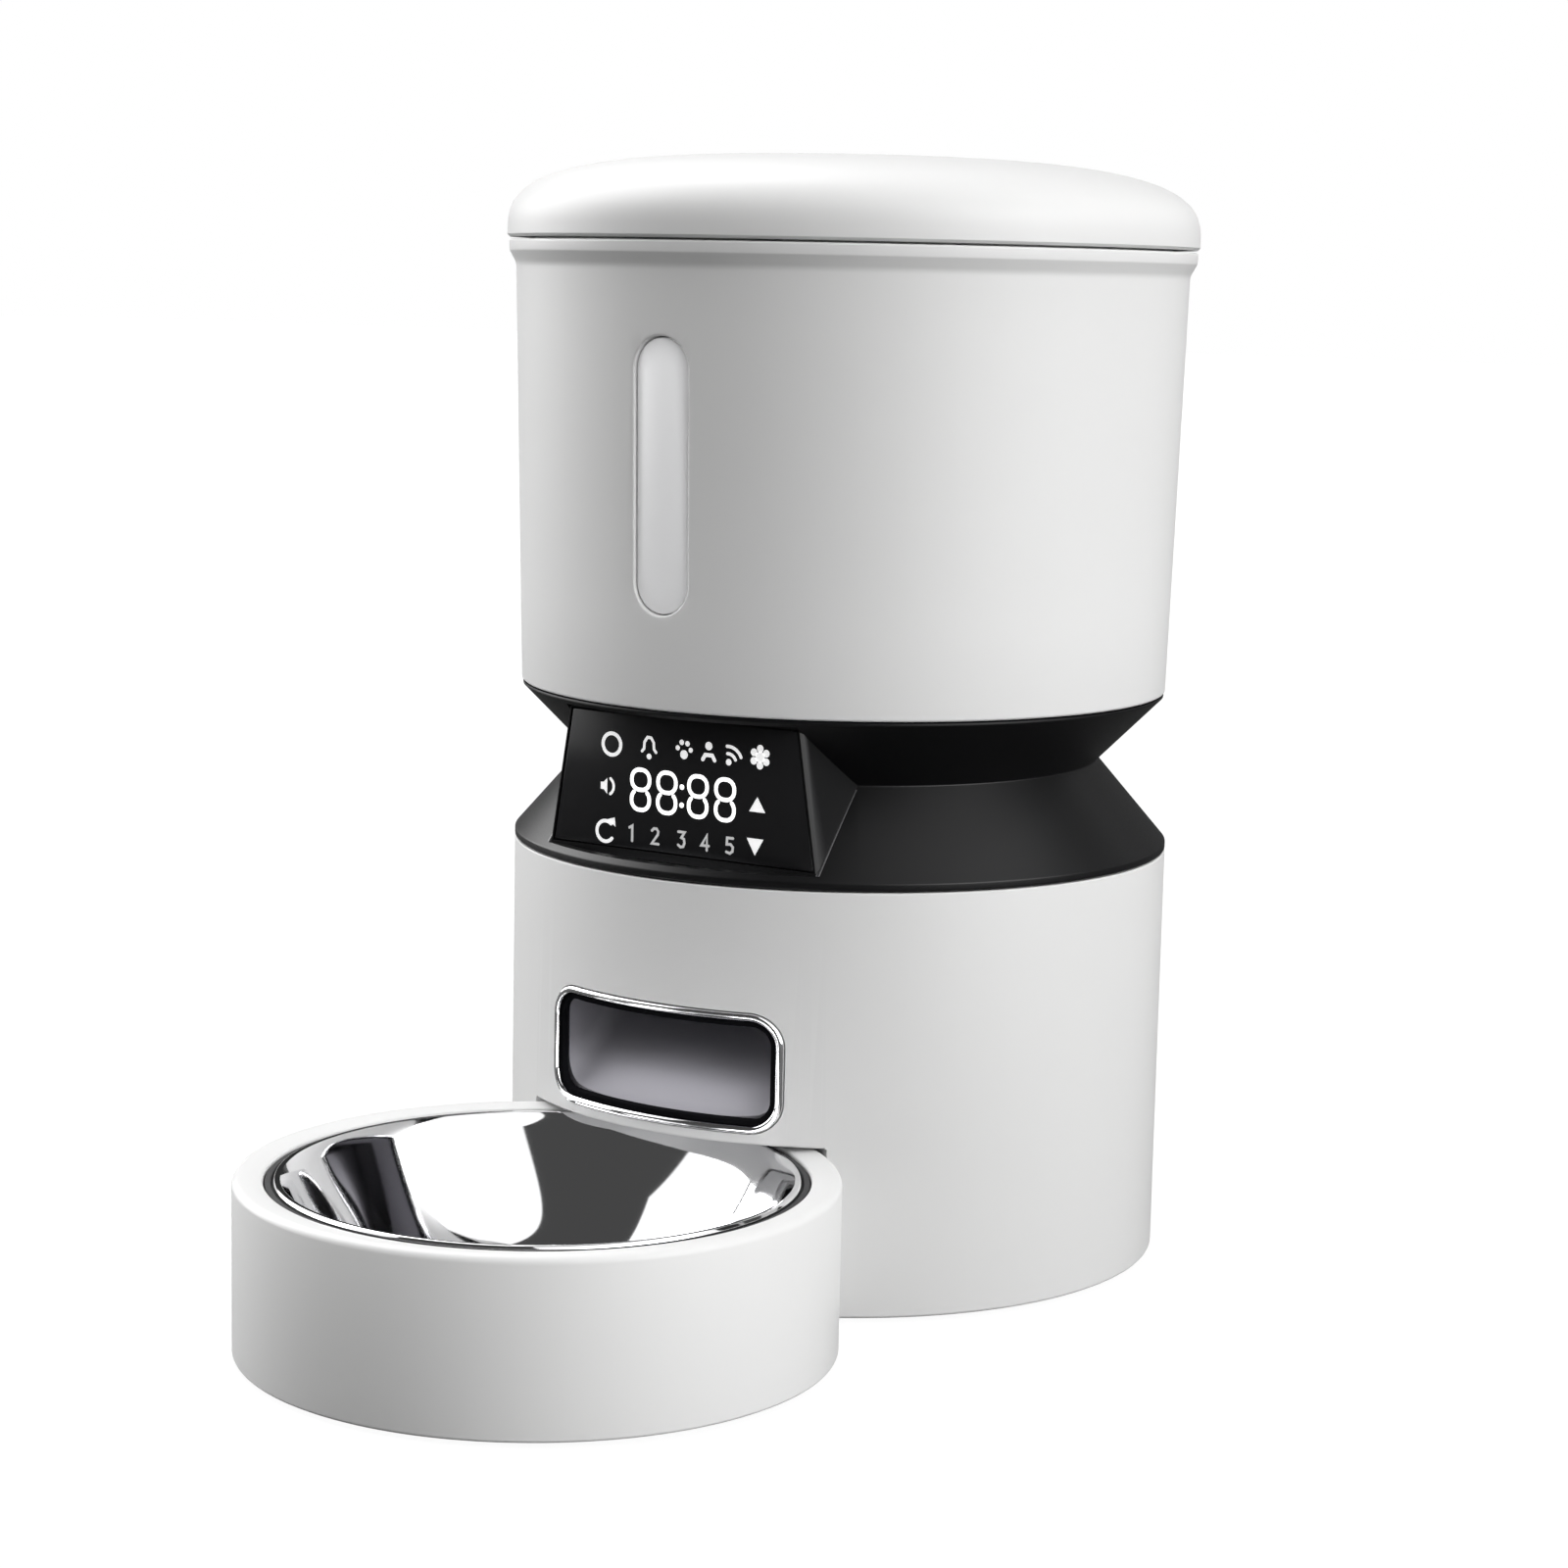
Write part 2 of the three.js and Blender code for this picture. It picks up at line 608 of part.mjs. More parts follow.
function tankShell() {
  const slot = roundedRect(WINDOW_HALF, WINDOW_LOW, WINDOW_HIGH, WINDOW_HALF - 0.01);
  return cut(revolve(tankProfile(0), FINE), extrudeFront(slot, -85, -110));
}

function tankWindow() {
  const half = WINDOW_HALF - GAP;
  const pane = roundedRect(half, WINDOW_LOW + GAP, WINDOW_HIGH - GAP, half - 0.01);
  return common(extrudeFront(pane, -85, -110), revolve(tankProfile(-0.3), FINE));
}

function tankFunnel() {
  const throat = CUP_R - 4.5;
  const profile = [
    [throat, 147.2],
    [throat + 2.2, 147.2],
    [throat + 2.2, 152.5],
    [88.9, 180],
    [90.6, 180],
    [90.6, 183.2],
    [88, 183.2],
    [throat, 154],
    [throat, 147.2],
  ];
  return revolve(profile);
}

// ---------------------------------------------------------------- lid
const PLUG_INNER = 89.3; // rim that enters the tank
const PLUG_OUTER = 91.1;

function lidShell() {
  const outerDome = dome(LID_R, LID_Z + 0.8, LID_TOP - LID_Z - 0.8, 7);
  const ceiling = LID_TOP - 2.6;
  const innerDome = dome(PLUG_INNER, LID_Z + 2.3, ceiling - LID_Z - 2.3, 4).reverse();
  const profile = [
    ...innerDome,
    [PLUG_INNER, LID_Z - 8.8],
    [PLUG_OUTER, LID_Z - 8.8],
    [PLUG_OUTER, LID_Z],
    [LID_R - 0.7, LID_Z],
    ...outerDome,
  ];
  return revolve(profile, FINE);
}

const HOLDER_R = 31.5; // desiccant holder
const HINGE_Y = 34;
const HINGE_Z = 290.7;

function desiccantHolder() {
  const inner = HOLDER_R - 2.3;
  const cup = revolve([
    [0, 309], [inner, 309], [inner, 292.2], [HOLDER_R, 292.2], [HOLDER_R, 311.2], [0, 311.2],
  ]);
  const ears = [-10.5, 10.5].map((x) => block(x - 1.2, x + 1.2, 29.8, 36, 289, 296));
  const clear = rod(inner, 285, 300, MEDIUM);
  return cut(join(cup, ...ears), clear);
}

function desiccantPack() {
  return revolve([[0, 294], [24, 294], [27, 297], [27, 304], [24, 307], [0, 307]], COARSE);
}

function desiccantCover() {
  const disc = rod(30.6, 289.8, 291.6, MEDIUM);
  const barrel = rod(1.5, -8.6, 8.6, 12).rotateY(Math.PI / 2).translate(0, HINGE_Y, HINGE_Z);
  const strap = block(-8.6, 8.6, 27, HINGE_Y, 289.9, 291.4);
  const slots = [-2, -1, 0, 1, 2].map((i) => {
    const half = 22 - Math.abs(i) * 4;
    return block(-half, half, i * 7 - 1.1, i * 7 + 1.1, 285, 295);
  });
  return cut(join(disc, barrel, strap), ...slots);
}

// ---------------------------------------------------------------- bowl tray
const SEAT_Z = TRAY_TOP - 4.4; // ledge that carries the gasket
const BOWL_RIM = TRAY_TOP - 2.2; // underside of the bowl's rolled rim

function bowlTray() {
  const inner = TRAY_R - 8; // inner edge of the ring round the bowl
  const lip = 67.6; // inner edge of the ledge
  const wall = TRAY_R - 2.6;
  const shell = revolve(
    [
      [0, FLOOR_Z], [TRAY_R - 0.8, FLOOR_Z], [TRAY_R, FLOOR_Z + 0.8], [TRAY_R, TRAY_TOP - 1.4],
      [TRAY_R - 0.6, TRAY_TOP - 0.3], [TRAY_R - 1.8, TRAY_TOP], [inner + 0.5, TRAY_TOP - 0.9],
      [inner, TRAY_TOP - 1.6], [inner, SEAT_Z], [lip, SEAT_Z], [lip, SEAT_Z - 2.2],
      [wall, SEAT_Z - 2.2], [wall, 4], [0, 4],
    ],
    FINE,
  );
  const tongue = block(-12, 12, TRAY_R - 1.5, TRAY_R + 5, 10, 18.4);
  return join(shell, tongue);
}

// Dark seal between the tray's ring and the bowl, with a foot under the bowl's rim.
function bowlGasket() {
  const low = SEAT_Z + GAP;
  const step = BOWL_RIM - GAP;
  return revolve(
    [[68, low], [71.1, low], [71.1, 46.2], [69.4, 46.2], [69.4, step], [68, step], [68, low]],
    FINE,
  );
}

function steelBowl() {
  const rim = BOWL_RIM;
  // the wall leans out from the flat bottom to the rim in one smooth curve
  const wall = (...corners) => new THREE.CubicBezierCurve(...corners.map((c) => new THREE.Vector2(...c)))
    .getPoints(9)
    .map((p) => [p.x, p.y]);
  const outside = wall([31, 8], [47, 8], [58, 23.6], [66.4, rim - 1]);
  const inside = wall([65.6, rim - 0.4], [57, 24.4], [46.4, 9], [31, 9]);
  const rolledRim = [
    [67.2, rim], [68.4, rim], [69, rim + 0.6], [68.8, rim + 1.3], [67.8, rim + 1.7], [66.6, rim + 1.2],
  ];
  return revolve([[0, 8], ...outside, ...rolledRim, ...inside, [0, 9]], FINE);
}

// ---------------------------------------------------------------- assembly
function add(parent, name, geometry, material, position = [0, 0, 0]) {
  const mesh = new THREE.Mesh(geometry, material);
  mesh.name = name;
  mesh.position.set(...position);
  parent.add(mesh);
}

const feeder = new THREE.Group();
const tower = new THREE.Group();
tower.position.y = TOWER_Y;
const tray = new THREE.Group();
tray.position.y = TRAY_Y;
feeder.add(tower, tray);

add(tower, "body_shell", bodyShell(), whiteShell);
add(tower, "base_plate", basePlate(), greyPlastic);
FOOT_PLACES.forEach(([x, y], i) => add(tower, `foot_${i + 1}`, foot(), rubber, [x, y, 0]));
BASE_SCREW_PLACES.forEach(([x, y], i) => {
  add(tower, `base_screw_${i + 1}`, screw(3.2, 1.8, 1.5, 18), steel, [x, y, 3.8]);
});
add(tower, "battery_box", batteryBox(), greyPlastic);
[-1, 0, 1].forEach((side, i) => {
  add(tower, `battery_${i + 1}`, batteryCell(), batterySleeve, [side * CELL_PITCH, -10.4, CELL_Z]);
});
add(tower, "contacts_front", contactStrip(2.4), brass, [0, BATTERY_FRONT + 2.1, 0]);
add(tower, "contacts_rear", contactStrip(1.6).rotateZ(Math.PI), brass, [0, BATTERY_BACK - 2.1, 0]);
add(tower, "battery_door", batteryDoor(), greyPlastic);
add(tower, "main_board", block(-40, 40, -5, 50, 46, 47.6), circuitBoard);
add(tower, "board_capacitor", rod(5, 48, 62), blackPart, [28, 38, 0]);
add(tower, "board_connector", block(-36, -22, 5, 15, 48, 57), nylon);
add(tower, "power_inlet", powerInlet(), blackPart, [0, 80.2, 24]);
add(tower, "speaker", speaker(), blackPart, [0, 78, 84]);

add(tower, "chute_duct", chuteDuct(), chuteGrey);
add(tower, "chute_trim", chuteTrim(), chrome);
add(tower, "food_sensor_left", block(-43, -37.3, -66, -58, 70, 78), blackPart);
add(tower, "food_sensor_right", block(37.3, 43, -66, -58, 70, 78), blackPart);

add(tower, "dispenser_deck", deck(), greyPlastic);
add(tower, "portion_guard", portionGuard(), greyPlastic);
add(tower, "impeller", impeller(), silicone);
add(tower, "stirrer", stirrer(), nylon);
add(tower, "rotor_shaft", rod(SHAFT_R, 97.2, 150.9), steel);
add(tower, "output_gear", outputGear(), nylon);
add(tower, "idler_gear", idlerGear(), nylon, [...IDLER_AT, 0]);
add(tower, "idler_axle", rod(2, 96.9, DECK_Z - GAP, 12), steel, [...IDLER_AT, 0]);
add(tower, "motor_pinion", motorPinion(), brass, [...MOTOR_AT, 0]);
add(tower, "gear_motor", gearMotor(), steel, [...MOTOR_AT, 0]);
add(tower, "gear_case", gearCase(), blackPart);
CASE_SCREW_PLACES.forEach(([x, y], i) => {
  add(tower, `case_screw_${i + 1}`, screw(3, 2.2, 1.5, 8), steel, [x, y, 112.3]);
});

add(tower, "waist_shell", waistShell(), blackShell);
add(tower, "touch_glass", touchGlass(), blackGlass);
add(tower, "display_module", block(-24.5, 24.5, -80.2, -72.4, 132.5, 150.5), blackPart);
add(tower, "display_board", block(-34, 34, -72, -70.6, 126.5, 157), circuitBoard);

add(tower, "tank_shell", tankShell(), whiteShell);
add(tower, "tank_window", tankWindow(), windowPlastic);
add(tower, "tank_funnel", tankFunnel(), greyPlastic);

add(tower, "lid_shell", lidShell(), whiteShell);
add(tower, "lid_seal", sleeve(PLUG_OUTER + GAP, 93.1, 284.5, 287.5, FINE), silicone);
add(tower, "desiccant_holder", desiccantHolder(), greyPlastic);
add(tower, "desiccant_pack", desiccantPack(), fleece);
add(tower, "desiccant_cover", desiccantCover(), greyPlastic);

add(tray, "bowl_tray", bowlTray(), whiteShell);
TRAY_PAD_ANGLES.forEach((degrees, i) => {
  const angle = (degrees * Math.PI) / 180;
  const place = [66 * Math.cos(angle), 66 * Math.sin(angle), 0];
  add(tray, `tray_pad_${i + 1}`, rod(6, 0, 0.9), rubber, place);
});
add(tray, "bowl_gasket", bowlGasket(), rubber);
add(tray, "steel_bowl", steelBowl(), steelMirror);

export default feeder;
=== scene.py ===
"""Looks of the automatic pet feeder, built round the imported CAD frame.

Shapes are written in millimetres about the axis of the tower or of the bowl tray, both read from
the frame, and turned into metres when a mesh is made. The front is -Y.
"""

from math import asin, atan2, cos, hypot, pi, radians, sin, sqrt, tan

import bmesh
import bpy
from mathutils import Matrix, Vector


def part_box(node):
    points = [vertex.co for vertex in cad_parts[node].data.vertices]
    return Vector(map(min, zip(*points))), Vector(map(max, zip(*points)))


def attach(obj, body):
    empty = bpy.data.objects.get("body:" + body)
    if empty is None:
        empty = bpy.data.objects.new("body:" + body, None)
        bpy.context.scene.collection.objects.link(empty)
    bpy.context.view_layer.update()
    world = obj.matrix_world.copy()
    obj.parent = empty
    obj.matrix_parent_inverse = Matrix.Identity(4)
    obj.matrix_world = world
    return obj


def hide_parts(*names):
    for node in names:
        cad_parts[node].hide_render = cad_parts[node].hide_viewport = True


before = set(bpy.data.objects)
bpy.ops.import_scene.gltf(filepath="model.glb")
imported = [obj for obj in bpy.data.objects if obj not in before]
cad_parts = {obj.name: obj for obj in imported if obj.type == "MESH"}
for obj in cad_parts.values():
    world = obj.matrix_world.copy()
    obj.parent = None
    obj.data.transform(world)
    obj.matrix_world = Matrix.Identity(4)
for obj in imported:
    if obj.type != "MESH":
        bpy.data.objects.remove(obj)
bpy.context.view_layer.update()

MM = 0.001
RING = 192  # segments round the large shells
SMALL_RING = 96
TINY_RING = 32
FULL_TURN = 2 * pi


def axis_of(node):
    low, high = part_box(node)
    return ((low.x + high.x) / 2, (low.y + high.y) / 2)


TOWER = axis_of("lid_shell")
TRAY = axis_of("steel_bowl")
TRAY_BACK = (TOWER[1] - TRAY[1]) / MM  # how far the tower's axis lies behind the tray's


def levels(node):
    """Outer radius, lowest and highest level of a round node, in millimetres."""
    low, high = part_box(node)
    return (high.x - low.x) / 2 / MM, low.z / MM, high.z / MM


def placed(name, data):
    """A new object in the scene."""
    thing = bpy.data.objects.new(name, data)
    bpy.context.scene.collection.objects.link(thing)
    return thing


# ---- camera
def place_camera():
    """Angles are in radians, lengths in millimetres; aside shifts the aim to the camera's right."""
    azimuth, elevation, roll = 0.5728, 0.1463, -0.0212
    distance, height, aside = 1010.5, 133.58, -16.59
    flat = cos(elevation)
    back = Vector((sin(azimuth) * flat, -cos(azimuth) * flat, sin(elevation)))
    target = Vector((aside * cos(azimuth), aside * sin(azimuth), height))
    right = (-back).cross(Vector((0, 0, 1))).normalized()
    up = back.cross(right)
    turned_right = right * cos(roll) - up * sin(roll)
    turned_up = right * sin(roll) + up * cos(roll)
    eye = (target + back * distance) * MM + Vector((TOWER[0], TOWER[1], 0))
    data = bpy.data.cameras.new("camera")
    data.sensor_width = 36
    data.lens = 79.16
    camera = placed("camera", data)
    turn = Matrix((turned_right, turned_up, back)).transposed()
    camera.matrix_world = Matrix.Translation(eye) @ turn.to_4x4()
    bpy.context.scene.camera = camera


place_camera()


# ---- profiles and outlines
def rounded(corners, steps=5):
    """A closed outline whose corners (u, v, fillet) are rounded; a corner (u, v) stays sharp."""
    points = []
    for i, corner in enumerate(corners):
        here = Vector(corner[:2])
        if len(corner) == 2:
            points.append(tuple(here))
            continue
        before = (Vector(corners[i - 1][:2]) - here).normalized()
        after = (Vector(corners[(i + 1) % len(corners)][:2]) - here).normalized()
        half = before.angle(after) / 2
        reach = corner[2] / tan(half)
        centre = here + (before + after).normalized() * (corner[2] / sin(half))
        first = here + before * reach - centre
        last = here + after * reach - centre
        turn = atan2(first.x * last.y - first.y * last.x, first.dot(last))
        for k in range(steps + 1):
            points.append(tuple(centre + Matrix.Rotation(turn * k / steps, 2) @ first))
    return points


def round_bar(half, low, high, radius):
    """A rectangle with round corners, centred on the outline's first axis."""
    return rounded(
        [(-half, low, radius), (half, low, radius), (half, high, radius), (-half, high, radius)]
    )


def rounded_rect(half, low, high, radius, grow=0.0, steps=8, parts=1):
    """Counter-clockwise outline in X and Z of a rectangle with round corners, grown by grow.

    Each straight side is split into parts, so that the outline can be wrapped round a wall.
    """
    half, low, high, radius = half + grow, low - grow, high + grow, radius + grow
    centres = [
        (half - radius, low + radius, -0.5),
        (half - radius, high - radius, 0.0),
        (radius - half, high - radius, 0.5),
        (radius - half, low + radius, 1.0),
    ]
    points = []
    for x, z, start in centres:
        for k in range(steps + 1):
            angle = pi * (start + 0.5 * k / steps)
            points.append((x + radius * cos(angle), z + radius * sin(angle)))
    split = []
    for i, (x, z) in enumerate(points):
        split.append((x, z))
        if (i + 1) % (steps + 1) == 0:
            end_x, end_z = points[(i + 1) % len(points)]
            for k in range(1, parts):
                split.append((x + (end_x - x) * k / parts, z + (end_z - z) * k / parts))
    return split


def bend(corners, steps=36):
    """A smooth cubic curve from the first of four corners to the last."""
    a, b, c, d = (Vector(corner) for corner in corners)
    points = []
    for k in range(steps + 1):
        t = k / steps
        u = 1 - t
        points.append(tuple(a * u ** 3 + b * (3 * u * u * t) + c * (3 * u * t * t) + d * t ** 3))
    return points


def dome(radius, base, height, power, steps):
    """Quarter of a superellipse from the rim to the axis."""
    points = []
    for k in range(steps + 1):
        angle = pi / 2 * k / steps
        across = 0.0 if k == steps else radius * cos(angle) ** (2 / power)
        points.append((across, base + height * sin(angle) ** (2 / power)))
    return points


# ---- solids as (points, faces)
def turned(profile, segments=RING, start=0.0, sweep=FULL_TURN):
    """A closed profile of (radius, height) turned about the Z axis."""
    whole = sweep > FULL_TURN - 1e-6
    count = segments if whole else segments + 1
    points, rows = [], []
    for radius, height in profile:
        if radius < 1e-9:
            rows.append([len(points)] * count)
            points.append((0, 0, height))
            continue
        rows.append(list(range(len(points), len(points) + count)))
        for j in range(count):
            angle = start + sweep * j / segments
            points.append((radius * cos(angle), radius * sin(angle), height))
    faces = []
    for low, high in zip(rows, rows[1:] + rows[:1]):
        for j in range(segments):
            k = (j + 1) % count
            corners = [low[j], low[k], high[k], high[j]]
            kept = [c for i, c in enumerate(corners) if c != corners[i - 1]]
            if len(kept) > 2:
                faces.append(kept)
    if not whole:
        faces.append([row[0] for row in rows])
        faces.append([row[-1] for row in reversed(rows)])
    return points, faces


def lofted(rings, closed=False):
    """Joins rings of equally many points; closed joins the last ring to the first."""
    count = len(rings[0])
    points = [p for ring in rings for p in ring]
    pairs = [(k, k + 1) for k in range(len(rings) - 1)]
    if closed:
        pairs.append((len(rings) - 1, 0))
    faces = []
    for a, b in pairs:
        for j in range(count):
            k = (j + 1) % count
            faces.append([a * count + j, a * count + k, b * count + k, b * count + j])
    if not closed:
        faces.append(list(range(count)))
        faces.append(list(range(len(points) - 1, len(points) - 1 - count, -1)))
    return points, faces


def block(x0, x1, y0, y1, z0, z1):
    rings = [[(x0, y0, z), (x1, y0, z), (x1, y1, z), (x0, y1, z)] for z in (z0, z1)]
    return lofted(rings)


def rod(radius, low, high, segments=TINY_RING, fillet=0.0):
    if fillet:
        profile = rounded([(0, low), (radius, low, fillet), (radius, high, fillet), (0, high)], 3)
    else:
        profile = [(0, low), (radius, low), (radius, high), (0, high)]
    return turned(profile, segments)


def raised(outline, low, high):
    """A plan outline in X and Y, drawn up along Z."""
    return lofted([[(x, y, z) for x, y in outline] for z in (low, high)])


def drawn_front(outline, back, front):
    """A front outline in X and Z, drawn out along Y."""
    return lofted([[(x, y, z) for x, z in outline] for y in (back, front)])


def drawn_across(outline, left, right):
    """A side outline in Y and Z, drawn out along X."""
    return lofted([[(x, y, z) for y, z in outline] for x in (left, right)])


def wrapped(outline, radius_at):
    """A front outline in X and Z laid on a round wall whose radius at height z is radius_at(z)."""
    return [(x, -sqrt(radius_at(z) ** 2 - x * x), z) for x, z in outline]


def moved(solid, dx=0.0, dy=0.0, dz=0.0):
    return [(x + dx, y + dy, z + dz) for x, y, z in solid[0]], solid[1]


def spun(solid, angle):
    c, s = cos(angle), sin(angle)
    return [(x * c - y * s, x * s + y * c, z) for x, y, z in solid[0]], solid[1]


def laid_back(solid):
    """Turns a solid built along +Z so that it lies along +Y."""
    return [(x, z, -y) for x, y, z in solid[0]], solid[1]


def laid_across(solid):
    """Turns a solid built along +Z so that it lies along +X."""
    return [(z, y, -x) for x, y, z in solid[0]], solid[1]


def grouped(*solids):
    points, faces = [], []
    for more, sides in solids:
        faces += [[len(points) + i for i in side] for side in sides]
        points += more
    return points, faces


def repeated(solid, places):
    """One solid made of copies at places (x, y)."""
    return grouped(*[moved(solid, x, y) for x, y in places])


# ---- meshes
def make(name, solid, axis=TOWER):
    mesh = bpy.data.meshes.new(name)
    places = [(axis[0] + x * MM, axis[1] + y * MM, z * MM) for x, y, z in solid[0]]
    mesh.from_pydata(places, [], solid[1])
    work = bmesh.new()
    work.from_mesh(mesh)
    bmesh.ops.recalc_face_normals(work, faces=work.faces)
    work.to_mesh(mesh)
    work.free()
    return placed(name, mesh)


def settle(part):
    """Turns the part's modifiers into its mesh."""
    bpy.context.view_layer.update()
    graph = bpy.context.evaluated_depsgraph_get()
    before = part.data
    part.data = bpy.data.meshes.new_from_object(part.evaluated_get(graph))
    part.data.name = part.name
    part.modifiers.clear()
    bpy.data.meshes.remove(before)


def combine(part, operation, others):
    """Cuts, joins or intersects the part with other objects, which are then removed."""
    for other in others:
        step = part.modifiers.new("combine", "BOOLEAN")
        step.operation = operation
        step.solver = "EXACT"
        step.object = other
    settle(part)
    for other in others:
        bpy.data.objects.remove(other)


def cut(part, *solids):
    combine(part, "DIFFERENCE", [make("tool", solid) for solid in solids])


def join(part, *solids, axis=TOWER):
    combine(part, "UNION", [make("tool", solid, axis) for solid in solids])


def keep_inside(part, solid):
    combine(part, "INTERSECT", [make("tool", solid)])


def show(part, material, body, *nodes, slot=None, sharp=32):
    """Shades the part, gives it its material and body, and lets it stand for CAD nodes.

    The slot argument is not used.
    """
    part.data.polygons.foreach_set("use_smooth", [True] * len(part.data.polygons))
    part.data.set_sharp_from_angle(angle=radians(sharp))
    if not part.data.materials:
        part.data.materials.append(material)
    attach(part, body)
    if nodes:
        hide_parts(*nodes)


class Tree:
    """Short ways to add nodes to a material or to the world."""

    def __init__(self, owner):
        owner.use_nodes = True
        self.nodes = owner.node_tree.nodes
        self.links = owner.node_tree.links

    def add(self, kind, **values):
        node = self.nodes.new(kind)
        for key, value in values.items():
            setattr(node, key, value)
        return node

    def link(self, source, target):
        self.links.new(source, target)

    def math(self, operation, first, second=None):
        node = self.add("ShaderNodeMath", operation=operation)
        for socket, value in zip(node.inputs, (first, second)):
            if isinstance(value, (int, float)):
                socket.default_value = value
            elif value is not None:
                self.link(value, socket)
        return node.outputs[0]

    def times(self, first, second):
        return self.math("MULTIPLY", first, second)

    def step(self, value, low, high, to_low=0.0, to_high=1.0, smooth=True):
        """value mapped from low..high to to_low..to_high and held at the ends."""
        node = self.add("ShaderNodeMapRange")
        node.interpolation_type = "SMOOTHSTEP" if smooth else "LINEAR"
        self.link(value, node.inputs["Value"])
        node.inputs["From Min"].default_value = low
        node.inputs["From Max"].default_value = high
        node.inputs["To Min"].default_value = to_low
        node.inputs["To Max"].default_value = to_high
        return node.outputs["Result"]

    def noise(self, place, size, detail=2.0):
        """Noise whose features are about size millimetres wide."""
        node = self.add("ShaderNodeTexNoise")
        self.link(place, node.inputs["Vector"])
        node.inputs["Scale"].default_value = 1 / (size * MM)
        node.inputs["Detail"].default_value = detail
        return node.outputs["Fac"]

    def blend(self, factor, first, second):
        node = self.add("ShaderNodeMix", data_type="RGBA")
        self.link(factor, node.inputs[0])
        for socket, colour in ((node.inputs[6], first), (node.inputs[7], second)):
            if isinstance(colour, tuple):
                socket.default_value = (*colour, 1)
            else:
                self.link(colour, socket)
        return node.outputs[2]

    def mix(self, factor, first, second):
        """first where factor is 0, second where it is 1; both are plain values or sockets."""
        node = self.add("ShaderNodeMix", data_type="FLOAT")
        self.link(factor, node.inputs[0])
        for socket, value in ((node.inputs[2], first), (node.inputs[3], second)):
            if isinstance(value, (int, float)):
                socket.default_value = value
            else:
                self.link(value, socket)
        return node.outputs[0]

    def bump(self, height, strength, depth=0.1):
        node = self.add("ShaderNodeBump")
        node.inputs["Strength"].default_value = strength
        node.inputs["Distance"].default_value = depth * MM
        self.link(height, node.inputs["Height"])
        return node.outputs["Normal"]


def shade(colour, factor):
    return tuple(min(1.0, c * factor) for c in colour)


def surface(name, colour, roughness, metallic=0.0, mottle=0.02, patch=18.0, grain=0.35,
            relief=0.05, spread=0.04, specular=0.5, **sockets):
    """A moulded or metal surface: slow colour drift, fine grain in gloss and in relief."""
    material = bpy.data.materials.new(name)
    tree = Tree(material)
    shader = tree.nodes["Principled BSDF"]
    place = tree.add("ShaderNodeTexCoord").outputs["Object"]
    drift = tree.noise(place, patch, 3.0)
    fine = tree.noise(place, grain, 2.0)
    tint = tree.blend(drift, shade(colour, 1 - mottle), shade(colour, 1 + mottle))
    tree.link(tint, shader.inputs["Base Color"])
    gloss = tree.step(fine, 0.3, 0.7, roughness - spread, roughness + spread, smooth=False)
    tree.link(gloss, shader.inputs["Roughness"])
    tree.link(tree.bump(fine, relief), shader.inputs["Normal"])
    shader.inputs["Metallic"].default_value = metallic
    shader.inputs["Specular IOR Level"].default_value = specular
    for socket, value in sockets.items():
        shader.inputs[socket.replace("_", " ")].default_value = value
    return material


def glow(name, colour, strength):
    """A lit segment on the panel, or white print given a painted glow, slightly uneven like a real light
    guide.
    """
    material = surface(name, colour, 0.4, mottle=0.03, patch=1.5)
    shader = material.node_tree.nodes["Principled BSDF"]
    shader.inputs["Emission Color"].default_value = (*colour, 1)
    shader.inputs["Emission Strength"].default_value = strength
    return material


white_shell = surface("white_shell", (0.7, 0.7, 0.698), 0.42, mottle=0.008, relief=0.03, specular=0.32)
# a darker copy of white_shell for the lower body, which is the same white plastic: painted shade
white_shell_painted_shade = surface("white_shell_painted_shade", (0.645, 0.645, 0.643), 0.42, mottle=0.008, relief=0.03, specular=0.32)
grey_plastic = surface("grey_plastic", (0.46, 0.47, 0.49), 0.5, relief=0.1)
chute_grey = surface("chute_grey", (0.26, 0.255, 0.28), 0.5, relief=0.08, specular=0.3)
black_shell = surface("black_shell", (0.004, 0.004, 0.0045), 0.38, mottle=0.1, relief=0.1, specular=0.25)
# a lighter, glossier copy of black_shell for the beads along the panel housing: a painted highlight line
black_shell_painted_highlight = surface("black_shell_painted_highlight", (0.03, 0.03, 0.032), 0.3, mottle=0.1, specular=0.6)
black_glass = surface("black_glass", (0.014, 0.014, 0.015), 0.2, mottle=0.1, relief=0.004,
    spread=0.03, specular=0.2)
# the window's faint emission is a painted glow that makes it lighter than the white shell
window_painted_glow = surface("window", (0.88, 0.88, 0.89), 0.35, mottle=0.01, relief=0.03,
    Emission_Color=(1, 1, 1, 1), Emission_Strength=0.1)
bowl_steel = surface("bowl_steel", (0.93, 0.93, 0.94), 0.05, 1.0, mottle=0.01, relief=0.004, spread=0.015)
chrome = surface("chrome_trim", (0.94, 0.94, 0.95), 0.06, 1.0, mottle=0.01, relief=0.004, spread=0.02)
steel = surface("steel", (0.5, 0.51, 0.53), 0.34, 1.0, mottle=0.05, relief=0.08)
brass = surface("brass", (0.66, 0.5, 0.24), 0.32, 1.0, mottle=0.06, relief=0.06)
nylon = surface("nylon", (0.84, 0.82, 0.74), 0.5, mottle=0.015, relief=0.06)
silicone = surface("silicone", (0.66, 0.68, 0.69), 0.62, relief=0.12, Subsurface_Weight=0.15,
    Subsurface_Scale=0.004)
rubber = surface("rubber", (0.035, 0.035, 0.037), 0.8, mottle=0.1, grain=0.25, relief=0.3)
